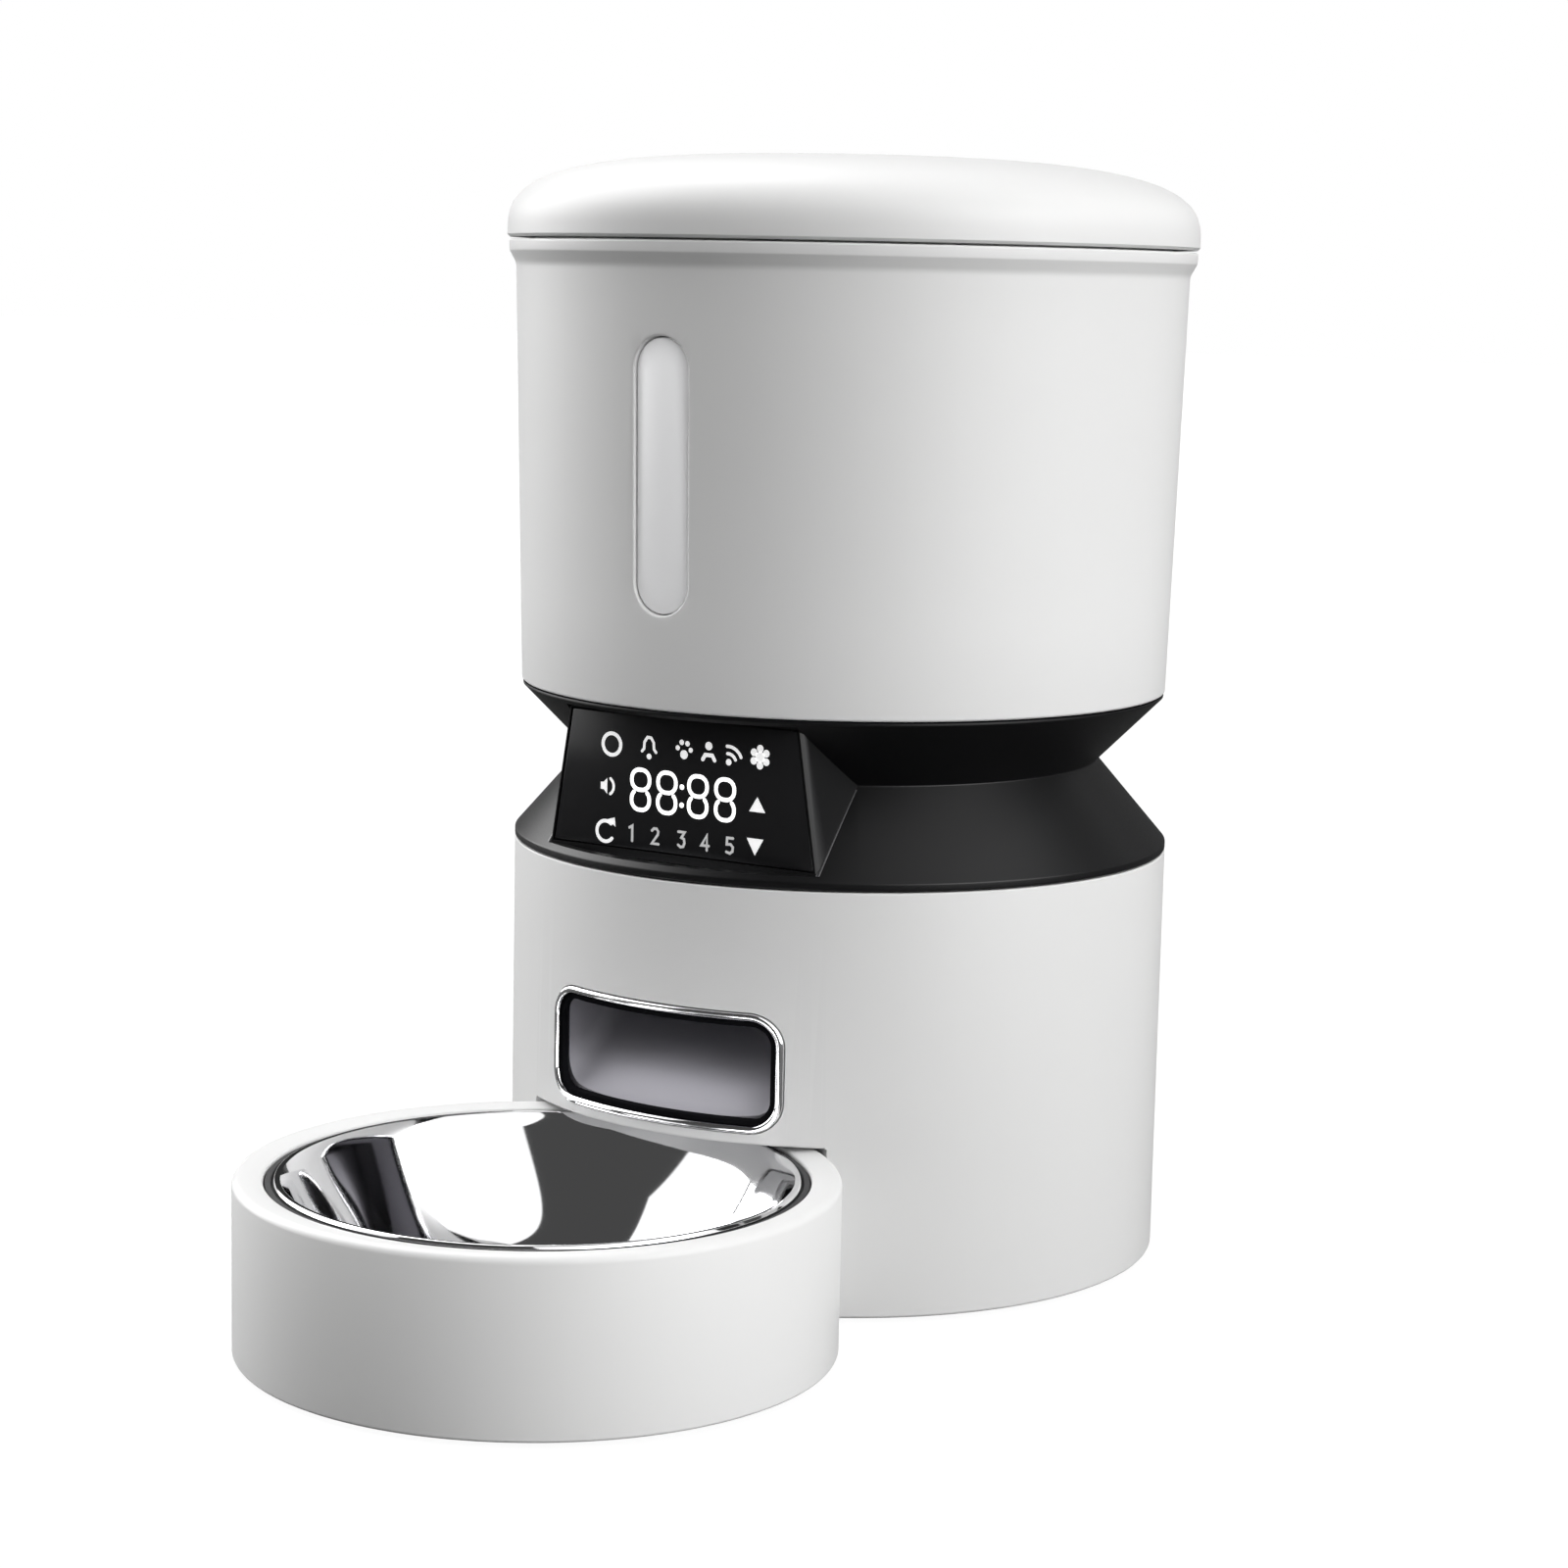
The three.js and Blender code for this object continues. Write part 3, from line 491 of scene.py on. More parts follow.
# a matt black with no gloss for the dark sheet in the gap behind the chute's bezel: painted shade
gap_shade_black = surface("gap_shade_black", (0.006, 0.006, 0.007), 0.9, mottle=0.2, relief=0.2, specular=0.0)
circuit_board = surface("circuit_board", (0.02, 0.12, 0.05), 0.45, mottle=0.1)
battery_sleeve = surface("battery", (0.06, 0.075, 0.09), 0.3, mottle=0.05, Coat_Weight=0.4)
black_part = surface("black_part", (0.02, 0.02, 0.022), 0.55, mottle=0.1, relief=0.15)
fleece = surface("fleece", (0.78, 0.78, 0.75), 0.95, mottle=0.05, patch=0.8, grain=0.22, relief=0.8)
lit_digit = glow("lit_digit", (1.0, 1.0, 1.0), 1.0)
# print gives no light of its own; the emission of these two print materials is a painted glow
panel_print_painted_glow = glow("panel_print_painted_glow", (0.9, 0.9, 0.9), 0.5)
faint_print_painted_glow = glow("faint_print_painted_glow", (0.6, 0.6, 0.6), 0.25)


# ---- lid
def build_lid():
    radius, low, top = levels("lid_shell")
    rim = low + 8.8  # the lid's outer edge, above the plug that enters the tank
    base, ceiling = rim + 0.8, top - 2.6
    under = rim + 2.3
    plug_inner, plug_outer = 89.3, 91.1
    power = 3.2  # of the superellipse: above 2, the dome has a flatter top and a fuller shoulder
    profile = [
        *reversed(dome(plug_inner, under, ceiling - rim - 2.3, power, 20)),
        *rounded([(plug_inner, low), (plug_outer, low), (plug_outer, rim), (radius - 0.7, rim)]),
        *dome(radius, base, top - base, power, 40),
    ]
    show(make("lid", turned(profile)), white_shell, "lid", "lid_shell")

    inner = plug_outer + 0.4
    seal = rounded([
        (inner, 284.5), (92.3, 284.5, 0.2), (93.1, 285.0, 0.2), (92.5, 285.6, 0.15),
        (92.5, 286.3, 0.15), (93.1, 286.9, 0.2), (92.3, 287.5, 0.2), (inner, 287.5),
    ])
    show(make("lid_gasket", turned(seal)), silicone, "lid", "lid_seal")


def build_desiccant():
    cup_radius, _, cup_top = levels("desiccant_holder")
    cup_low, clear = 292.2, 29.2  # the cup's open end and its clear radius
    section = rounded([
        (0, cup_top - 2.2), (clear, cup_top - 2.2, 1.0), (clear, cup_low, 0.3),
        (cup_radius, cup_low, 0.5), (cup_radius, cup_top, 1.2), (0, cup_top),
    ])
    cup = make("desiccant_cup", turned(section, SMALL_RING))
    ear = rounded(
        [(29.8, 296, 0.5), (29.8, 289.6, 0.5), (33, 289, 1.2), (36, 289, 1.4), (36, 296, 1)]
    )
    join(cup, *[drawn_across(ear, x - 1.2, x + 1.2) for x in (-10.5, 10.5)])
    cut(cup, rod(clear, 285, 300, SMALL_RING))
    show(cup, grey_plastic, "lid", "desiccant_holder")

    pillow = rounded([(0, 294), (24.5, 294, 6), (27, 300.5, 6), (24.5, 307, 6), (0, 307)], 8)
    pack = make("desiccant_bag", turned(pillow, SMALL_RING))
    show(pack, fleece, "lid", "desiccant_pack")

    hinge_y, hinge_z, hinge_half = 34, 290.7, 8.6
    plate_section = rounded([(0, 289.8), (30.6, 289.8, 0.5), (30.6, 291.6, 0.5), (0, 291.6)])
    cover = make("desiccant_flap_plate", turned(plate_section, SMALL_RING))
    barrel = laid_across(rod(1.5, -hinge_half, hinge_half, TINY_RING, 0.3))
    strap = block(-hinge_half, hinge_half, 27, hinge_y, 289.9, 291.4)
    join(cover, strap, moved(barrel, 0, hinge_y, hinge_z))
    slots = [
        raised(round_bar(22 - abs(i) * 4, i * 7 - 1.1, i * 7 + 1.1, 1.09), 285, 295)
        for i in range(-2, 3)
    ]
    cut(cover, grouped(*slots))
    show(cover, grey_plastic, "desiccant_flap", "desiccant_cover")


build_lid()
build_desiccant()

# ---- food tank
TANK_LOW_R = 93.4
TANK_HIGH_R = 96.2
TANK_WALL = 2.5
FLARE_START = 6.7  # how far below its top the tank starts to flare
WINDOW_HALF = 8.75
WINDOW_LOW = 190.0
WINDOW_HIGH = 264.5
QUARTER = (0, 0.39, 0.79, 1.18, 1.57)  # angles that round an edge through a quarter turn


def tank_radius(height):
    _, low, high = levels("tank_shell")
    share = (height - low) / (high - FLARE_START - low)
    return TANK_LOW_R + (TANK_HIGH_R - TANK_LOW_R) * share


def window_solid(inset, sections):
    """The window drawn in by inset; each section is (grow, depth below the tank's surface)."""
    half = WINDOW_HALF - inset
    shape = (half, WINDOW_LOW + inset, WINDOW_HIGH - inset, half - 0.01)
    return lofted([
        wrapped(rounded_rect(*shape, grow=grow), lambda z, d=depth: tank_radius(z) - d)
        for grow, depth in sections
    ])


def build_tank():
    _, low, seam = levels("tank_shell")
    # the wall has a ring just below and above the window, so that its long faces stay smooth
    below, above = WINDOW_LOW - 1.5, WINDOW_HIGH + 1.5
    wall = rounded([
        (TANK_LOW_R - TANK_WALL, low, 0.5), (TANK_LOW_R, low, 0.8), (tank_radius(below), below),
        (tank_radius(above), above), (TANK_HIGH_R, seam - FLARE_START, 4),
        (TANK_HIGH_R + 1.9, seam - 3.2, 1.2), (TANK_HIGH_R + 2.1, seam, 0.7),
        (TANK_HIGH_R - TANK_WALL, seam, 0.6),
    ])
    tank = make("tank", turned(wall))
    lip = 0.7
    edge = [(lip * (1 - sin(a)), lip * (1 - cos(a))) for a in QUARTER]
    cut(tank, window_solid(0, [(lip, -3), *edge, (0, 5)]))
    show(tank, white_shell, "tank", "tank_shell")

    pane_in = 0.9  # the window's face lies this far inside the tank's wall
    bevel = 0.5
    sections = [
        (0, TANK_WALL), (0, pane_in + bevel), (-0.15, pane_in + 0.15), (-bevel, pane_in),
    ]
    pane = make("tank_level_window", window_solid(0.4, sections))
    # the window pane wears the painted glow
    show(pane, window_painted_glow, "tank", "tank_window")

    throat = 58
    funnel = rounded([
        (throat, 147.2, 0.4), (throat + 2.2, 147.2, 0.4), (throat + 2.2, 152.5, 3),
        (88.9, 180, 1.5), (90.6, 180, 0.3), (90.6, 183.2, 0.4), (88, 183.2, 1.5),
        (throat, 154, 3),
    ])
    show(make("tank_hopper", turned(funnel)), grey_plastic, "tank", "tank_funnel")


build_tank()

# ---- waist and control panel
PANEL_Y = -82.2  # face of the panel
PANEL_HALF = 38.4  # half the face's width at the height PANEL_REF_Z
PANEL_REF_Z = 161
PANEL_TAPER = 0.161  # width lost on each side per millimetre of height
PANEL_FLARE = 0.1  # width gained on each side per millimetre of depth


def panel_half(height, y):
    return PANEL_HALF - PANEL_TAPER * (height - PANEL_REF_Z) + PANEL_FLARE * (y - PANEL_Y)


def panel_slab(*layers):
    """A solid with the panel's outline; layers are (inset, low, high, y), from back to front."""
    rings = []
    for inset, low, high, y in layers:
        wide, narrow = panel_half(low, y) - inset, panel_half(high, y) - inset
        rings.append([(-wide, y, low), (wide, y, low), (narrow, y, high), (-narrow, y, high)])
    return lofted(rings)


def panel_fillet(side, low, high, cone_radius):
    """A bead where the panel's housing meets the lower cone, thinner towards the top."""
    steps = 12
    rings = []
    for k in range(steps + 1):
        z = low + (high - low) * k / steps
        y = -74.0
        for _ in range(8):  # settles on the point that the housing and the cone share
            x = panel_half(z, y)
            y = -sqrt(cone_radius(z) ** 2 - x * x)
        size = 0.55 - 0.25 * k / steps
        turns = [FULL_TURN * j / 10 for j in range(10)]
        rings.append([(side * (x + size * cos(a)), y + size * sin(a), z) for a in turns])
    return lofted(rings)


def build_waist():
    radius, low, top = levels("waist_shell")
    lip = low + 2
    crease, crease_z = 74.5, 144.5
    outside = rounded([
        (0, low), (radius, low, 0.4), (radius, lip, 0.8), (crease, crease_z, 0.5),
        (93, top - 0.7, 0.2), (93, top, 0.2), (0, top),
    ])
    inside = [
        (0, low - 1), (radius - 3, low - 1), (radius - 3, lip), (crease - 3.2, crease_z),
        (89.6, top - 0.7), (89.6, top + 1), (0, top + 1),
    ]
    waist = make("waist", turned(outside))
    cut(waist, turned(inside))
    housing = panel_slab(
        (0, lip, top, -60), (0, lip, top, PANEL_Y + 0.95), (0.1, lip, top, PANEL_Y + 0.75),
        (0.6, lip, top, PANEL_Y),
    )
    join(waist, housing)
    ahead = panel_slab((0, 122.4, 162.2, PANEL_Y), (0, 122.4, 162.2, -110))
    cavity = panel_slab((2.4, 123.9, 160.6, -50), (2.4, 123.9, 160.6, -78.8))
    seat = panel_slab((1, 123.2, 161.3, -80.6), (1, 123.2, 161.3, -90))
    hole = block(-27, 27, -84, -78, 130.5, 152.5)
    core = turned([(0, 100), (70.8, 100), (70.8, 150), (76.5, 160), (76.5, 170), (0, 170)])
    cut(waist, ahead, cavity, seat, hole, core)
    show(waist, black_shell, "base", "waist_shell")

    def cone_radius(z):
        return radius + (crease - radius) * (z - lip) / (crease_z - lip)

    # the beads wear the lighter, glossier copy of the black shell, a painted highlight along the
    # housing's lower edges
    for name, side in (("panel_fillet_left", -1), ("panel_fillet_right", 1)):
        bead = make(name, panel_fillet(side, 122.6, crease_z - 1, cone_radius))
        show(bead, black_shell_painted_highlight, "base", slot="black_shell")

    glass = panel_slab(
        (1.3, 123.5, 161, -80.9), (1.3, 123.5, 161, -81.7), (1.45, 123.65, 160.85, -81.95),
        (1.75, 123.95, 160.55, -82.1),
    )
    show(make("touch_panel", glass), black_glass, "base", "touch_glass", sharp=50)


def stroke(points, width, closed=False, steps=8):
    """Flat ribbon along points (x, z), with round ends unless it is closed."""
    places, faces = [], []
    count = len(points)
    half = width / 2
    vectors = [Vector(p) for p in points]
    for i, here in enumerate(vectors):
        before = vectors[i - 1] if closed or i else here
        after = vectors[(i + 1) % count] if closed or i < count - 1 else here
        into = (here - before).normalized() if (here - before).length > 1e-9 else None
        out = (after - here).normalized() if (after - here).length > 1e-9 else None
        along = ((into or out) + (out or into)).normalized()
        side = Vector((-along.y, along.x))
        lean = abs(side.dot(Vector((-(out or into).y, (out or into).x))))
        offset = side * half / max(lean, 0.5)
        places += [tuple(here + offset), tuple(here - offset)]
    for i in range(count if closed else count - 1):
        a, b = 2 * i, 2 * ((i + 1) % count)
        faces.append([a, a + 1, b + 1, b])
    if not closed:
        for end, inner in ((0, 1), (count - 1, count - 2)):
            along = (vectors[end] - vectors[inner]).normalized()
            start = len(places)
            turn = atan2(along.y, along.x)
            for k in range(1, steps):
                angle = turn + pi / 2 - pi * k / steps
                spoke = Vector((cos(angle), sin(angle)))
                places.append(tuple(vectors[end] + spoke * half))
            first, last = (2 * end, 2 * end + 1) if end else (2 * end + 1, 2 * end)
            faces.append([first, *range(start, start + steps - 1), last])
    return places, faces


def circle(x, z, radius, steps):
    turns = [FULL_TURN * k / steps for k in range(steps)]
    return [(x + radius * cos(a), z + radius * sin(a)) for a in turns]


def filled(points):
    return points, [list(range(len(points)))]


def disc(x, z, radius):
    return filled(circle(x, z, radius, 20))


def ring(x, z, radius, width):
    return stroke(circle(x, z, radius, 32), width, closed=True)


def arc(x, z, radius, start, end, width, steps=20):
    """Ribbon along an arc; angles in degrees."""
    points = []
    for k in range(steps + 1):
        angle = radians(start + (end - start) * k / steps)
        points.append((x + radius * cos(angle), z + radius * sin(angle)))
    return stroke(points, width)


def shifted(glyph, x, z, scale):
    return [(x + u * scale, z + v * scale) for u, v in glyph[0]], glyph[1]


DIGIT_LINES = {
    "1": [(-0.35, 0.75), (0.1, 1), (0.1, -1)],
    "2": [(-0.5, 0.7), (-0.2, 1), (0.25, 1), (0.5, 0.65), (0.45, 0.25), (-0.5, -1), (0.55, -1)],
    "3": [
        (-0.5, 1), (0.5, 1), (0, 0.25), (0.4, 0.1), (0.5, -0.4), (0.3, -0.9), (-0.1, -1),
        (-0.5, -0.75),
    ],
    "4": [(0.3, -1), (0.3, 1), (-0.55, -0.4), (0.6, -0.4)],
    "5": [
        (0.5, 1), (-0.4, 1), (-0.45, 0.15), (0.15, 0.2), (0.5, -0.15), (0.45, -0.7), (0.05, -1),
        (-0.5, -0.85),
    ],
}


def eight(x, z, half_width, half_height, width):
    """A lit figure eight: a closed loop with a second one hung below it."""
    across, tall = half_width - width / 2, half_height - width / 2
    corner = across * 0.86
    upper = [(x + u, z + v) for u, v in rounded_rect(across, 0, tall, corner)]
    lower = [(x + u, z - v) for u, v in rounded_rect(across, 0, tall, corner)]
    shared = len(lower) // 4
    hanging = lower[shared // 2:len(lower) - shared // 2]
    return [stroke(upper, width, closed=True), stroke(hanging, width)]


def plate(name, glyphs, material, front):
    """Lays flat glyphs on the panel as thin raised print."""
    flat = [([(x, front, z) for x, z in points], faces) for points, faces in glyphs]
    part = make(name, grouped(*flat))
    work = bmesh.new()
    work.from_mesh(part.data)
    grown = bmesh.ops.extrude_face_region(work, geom=work.faces[:])
    lifted = [v for v in grown["geom"] if isinstance(v, bmesh.types.BMVert)]
    bmesh.ops.translate(work, verts=lifted, vec=(0, 0.06 * MM, 0))
    bmesh.ops.recalc_face_normals(work, faces=work.faces)
    work.to_mesh(part.data)
    work.free()
    show(part, material, "base", slot="white_shell")


def build_graphics():
    face = -82.14
    digits = []
    for x in (-13.7, -4.9, 5.4, 14.3):
        digits += eight(x, 140.2, 3.55, 6.15, 1.15)
    digits += [disc(0.1, 142.3, 0.75), disc(0.1, 137.3, 0.75)]
    plate("display_digits", digits, lit_digit, face)

    bell = [
        (-13.4, 151), (-12.7, 151.8), (-12.6, 153.6), (-11.6, 155), (-10.4, 154.9),
        (-9.5, 153.6), (-9.4, 151.8), (-8.7, 151),
    ]
    paw = [
        (0.6, 151.3, 1.25), (-1.5, 153.0, 0.7), (-0.2, 154.6, 0.75), (1.7, 154.4, 0.75),
        (2.8, 152.7, 0.7),
    ]
    shoulders = [(6.8, 150.6), (7.6, 151.9), (9.9, 151.9), (10.7, 150.6)]
    horn = [
        (-27.2, 139.2), (-26.2, 139.2), (-25.0, 138.0), (-25.0, 142.4), (-26.2, 141.2),
        (-27.2, 141.2),
    ]
    petals = [k * pi / 3 + 0.52 for k in range(6)]
    marks = [
        ring(-23.6, 152.0, 3.0, 1.05),
        # bell
        stroke(bell, 0.8), disc(-11, 149.7, 0.8),
        *[disc(*toe) for toe in paw],
        # person
        disc(8.7, 154.4, 1.15), stroke(shoulders, 1.1),
        # wireless
        arc(15.1, 150.3, 4.6, 25, 95, 0.9), arc(15.1, 150.3, 2.6, 25, 95, 0.9),
        disc(15.3, 150.6, 0.9),
        # flower
        disc(25.4, 152.9, 1.5),
        *[disc(25.4 + 2.3 * cos(a), 152.9 + 2.3 * sin(a), 1.05) for a in petals],
        # loudspeaker
        filled(horn), arc(-25.4, 140.2, 2.6, -55, 55, 0.8),
        # round arrow
        arc(-25.4, 127.5, 2.9, 50, 320, 1.0),
        filled([(-24.6, 130.9), (-22.0, 129.0), (-22.3, 131.6)]),
        # up and down
        filled([(22.2, 137.9), (27.4, 137.9), (24.8, 142.0)]),
        filled([(24.3, 126.0), (27.0, 130.6), (21.6, 130.6)]),
    ]
    # the marks and the numbers below glow: a painted glow on print
    plate("panel_marks", marks, panel_print_painted_glow, face)

    numbers = [
        shifted(stroke(DIGIT_LINES[digit], 0.36), x, 127.8, 2.1)
        for digit, x in zip("12345", (-16.5, -8.6, 0.2, 8.0, 16.1))
    ]
    plate("meal_numbers", numbers, faint_print_painted_glow, face)


build_waist()
build_graphics()

# ---- lower body
BODY_R = levels("body_shell")[0]
BODY_WALL = 3
FLOOR_Z = 1.2
BODY_TOP = 118.5
DOCK_R = 80.3
DOCK_TOP = 48.3
DOCK_WALL = 2.5
ARCH_HALF = 48.5  # half the width of the arch over the bowl
SCREW_PLACES = [(68, -53), (-68, -53), (66, 55), (-66, 55)]
FOOT_PLACES = [(72, 34), (-72, 34), (76, -32), (-76, -32)]
CHUTE_HALF, CHUTE_LOW, CHUTE_HIGH, CHUTE_CORNER = 38.2, 51.4, 84.4, 9


def dock_rod(radius, low, high):
    return moved(rod(radius, low, high, RING), 0, -TRAY_BACK)


def build_body():
    inner = BODY_R - BODY_WALL
    wall = [
        (inner, FLOOR_Z, 0.4), (BODY_R, FLOOR_Z, 0.9), (BODY_R, BODY_TOP, 0.5),
        (inner, BODY_TOP, 0.4),
    ]
    body = make("housing", turned(rounded(wall)))
    dock = make("dock", dock_rod(DOCK_R + DOCK_WALL, FLOOR_Z, DOCK_TOP + DOCK_WALL))
    keep_inside(dock, rod(BODY_R - 0.5, FLOOR_Z - 1, BODY_TOP, RING))
    combine(body, "UNION", [dock])
    bosses = make("bosses", repeated(rod(6.3, 6.9, 30), SCREW_PLACES))
    keep_inside(bosses, rod(BODY_R - 1, 0, 40, RING))
    combine(body, "UNION", [bosses])

    roll = 0.8  # the arch over the bowl is rounded by this much
    arch = [(BODY_R + 1, DOCK_TOP - 1), (BODY_R + 1, DOCK_TOP + roll)]
    for a in QUARTER:
        arch.append((BODY_R - roll * (1 - cos(a)), DOCK_TOP + roll * (1 - sin(a))))
    arch.append((BODY_R - roll, DOCK_TOP - 1))
    half_arch = asin(ARCH_HALF / BODY_R)
    arch_cut = turned(arch, 64, -pi / 2 - half_arch, 2 * half_arch)
    dock_hole = dock_rod(DOCK_R, -1, DOCK_TOP)
    slot = block(-12.8, 12.8, -68, -58, 9.4, 19)
    opening = rounded_rect(CHUTE_HALF, CHUTE_LOW, CHUTE_HIGH, CHUTE_CORNER, 0.3)
    chute = drawn_front(opening, -80, -100)
    holes = repeated(rod(1.9, 6, 26), SCREW_PLACES)
    door = block(-58.4, 58.4, 60, 100, -1, 4.8)
    inlet = moved(laid_back(rod(5.2, 80, 100)), 0, 0, 24)
    grille, grille_z = [], 84
    for i in range(-3, 4):
        half = 9 - abs(i) * 1.4
        bar = rounded_rect(0.9, grille_z - half, grille_z + half, 0.89, steps=5)
        grille.append(moved(drawn_front(bar, 100, 85), i * 3.8))
    cut(body, dock_hole, arch_cut, slot, chute, holes, door, inlet, grouped(*grille))
    # the body wears the darker copy of the white shell, painted shade over the lower body
    show(body, white_shell_painted_shade, "base", "body_shell", slot="white_shell")


def build_chute():
    outside = [
        (-100, 53), (-87.5, 53), (-25.2, 96.1), (-25.2, 117.1), (-60.3, 117.1), (-60.3, 96.8),
        (-72.8, 84.2), (-100, 84.2),
    ]
    inside = rounded([
        (-110, 54.8), (-88, 54.8, 8), (-27, 97, 6), (-27, 130), (-58.5, 130), (-58.5, 96, 6),
        (-72, 82.4, 8), (-110, 82.4),
    ], 6)
    half = 35
    duct = make("chute", drawn_across(outside, -half - 1.8, half + 1.8))
    fillet = 5.0  # the passage's long edges are rounded
    layers = []
    for k in range(7):
        angle = pi / 2 * k / 6
        inset, x = fillet * (1 - sin(angle)), half - fillet * (1 - cos(angle))
        layers.append([(-x, y, z) for y, z in shrunk(inside, inset)])
    layers += [[(-x, y, z) for x, y, z in layer] for layer in reversed(layers)]
    cut(duct, lofted(layers))
    keep_inside(duct, rod(BODY_R - BODY_WALL - 0.4, 40, 130, RING))
    show(duct, chute_grey, "base", "chute_duct", sharp=40)

    crown, back = BODY_R + 0.9, BODY_R - BODY_WALL + 0.4
    roll = 0.7
    bezel = [(0, back), (0, crown - roll)]
    for a in (0.4, 0.8, 1.2, 1.57):
        bezel.append((-roll * (1 - cos(a)), crown - roll * (1 - sin(a))))
    bezel += [
        (-1.3, crown - 0.05), (-1.7, crown - 0.3), (-2, crown - 0.8), (-2.2, crown - 1.6),
        (-2.2, back),
    ]
    # the ring below is a matt black sheet in the gap between bezel and duct, painted shade for that gap
    seal = [
        (-2.1, back), (-2.1, crown - 1.4), (-2.3, crown - 1.2), (-3.5, crown - 1.3),
        (-3.7, crown - 1.6), (-3.7, back),
    ]

    def framed(section):
        """A frame round the opening; the section's points are (grow, radius)."""
        shape = (CHUTE_HALF, CHUTE_LOW, CHUTE_HIGH, CHUTE_CORNER)
        rings = [
            wrapped(rounded_rect(*shape, grow=grow, steps=14, parts=24), lambda z, r=radius: r)
            for grow, radius in section
        ]
        return lofted(rings, closed=True)

    trim = make("chute_bezel", framed(bezel))
    show(trim, chrome, "base", "chute_trim", sharp=50)
    # painted shade: the dark ring behind the bezel
    show(make("chute_gap_shade", framed(seal)), gap_shade_black, "base", sharp=50, slot="black_part")


def shrunk(outline, inset):
    """The outline drawn in by inset, by moving each side along its normal."""
    if inset < 1e-6:
        return list(outline)
    count = len(outline)
    area = sum(
        outline[i - 1][0] * outline[i][1] - outline[i][0] * outline[i - 1][1] for i in range(count)
    )
    turn = 1 if area > 0 else -1
    result = []
    for i in range(count):
        here = Vector(outline[i])
        into = (here - Vector(outline[i - 1])).normalized()
        out = (Vector(outline[(i + 1) % count]) - here).normalized()
        normal = Vector((-(into.y + out.y), into.x + out.x)) * turn
        normal.normalize()
        lean = max(0.4, normal.dot(Vector((-into.y, into.x)) * turn))
        result.append(tuple(here + normal * (inset / lean)))
    return result


def build_base():
    plate_radius = BODY_R - BODY_WALL - 0.4
    plan = rounded([(0, FLOOR_Z), (plate_radius, FLOOR_Z, 0.5), (plate_radius, 6.5, 0.4), (0, 6.5)])
    base = make("base_tray", turned(plan))
    feet = repeated(rod(7.9, -1, 3.6), FOOT_PLACES)
    pockets = repeated(rod(3.8, -1, 4.2), SCREW_PLACES)
    holes = repeated(rod(1.9, -1, 20), SCREW_PLACES)
    cut(
        base,
        dock_rod(DOCK_R + DOCK_WALL + 0.4, -1, 20),
        block(-54.9, 54.9, -13.7, 53.7, -1, 20),
        block(-58.4, 58.4, -18.5, 100, 2.7, 4.8),
        block(-56.9, 56.9, -18.5, 100, -1, 2.8),
        feet,
        pockets,
        holes,
    )
    show(base, grey_plastic, "base", "base_plate")

    foot = turned(
        rounded([
            (0, 0.25), (5.6, 0.25, 0.3), (6.2, 0, 0.2), (7.4, 0, 0.8), (7.4, 3.2, 0.2), (0, 3.2),
        ]),
        SMALL_RING,
    )
    for i, (x, y) in enumerate(FOOT_PLACES, 1):
        pad = make(f"rubber_foot_{i}", moved(foot, x, y))
        show(pad, rubber, "base", f"foot_{i}")
    for i, (x, y) in enumerate(SCREW_PLACES, 1):
        screw = make(f"housing_screw_{i}", moved(screw_solid(3.2, 1.8, 1.5, 18), x, y, 3.8))
        cut(screw, *[moved(tool, x, y, 2.0) for tool in cross_recess()])
        show(screw, steel, "base", f"base_screw_{i}")


def screw_solid(head, depth, shank, length):
    corners = [
        (0, -depth), (head * 0.85, -depth, 0.3), (head, -depth * 0.5, 0.3), (head, 0, 0.2),
        (shank, 0), (shank, length), (0, length),
    ]
    return turned(rounded(corners), TINY_RING)


def cross_recess():
    """Two crossed tapered slots, open downwards."""
    rings = []
    for half, thick, z in ((1.9, 0.35, -1), (0.8, 0.3, 1.1)):
        rings.append([(-half, -thick, z), (half, -thick, z), (half, thick, z), (-half, thick, z)])
    slot = lofted(rings)
    return [slot, spun(slot, pi / 2)]


def door_outline(half):
    reach = BODY_R - 0.5
    turn = asin(half / reach)
    back = [
        (reach * sin(turn - 2 * turn * k / 40), reach * cos(turn - 2 * turn * k / 40))
        for k in range(41)
    ]
    return [(-half, -18), (half, -18), *back]


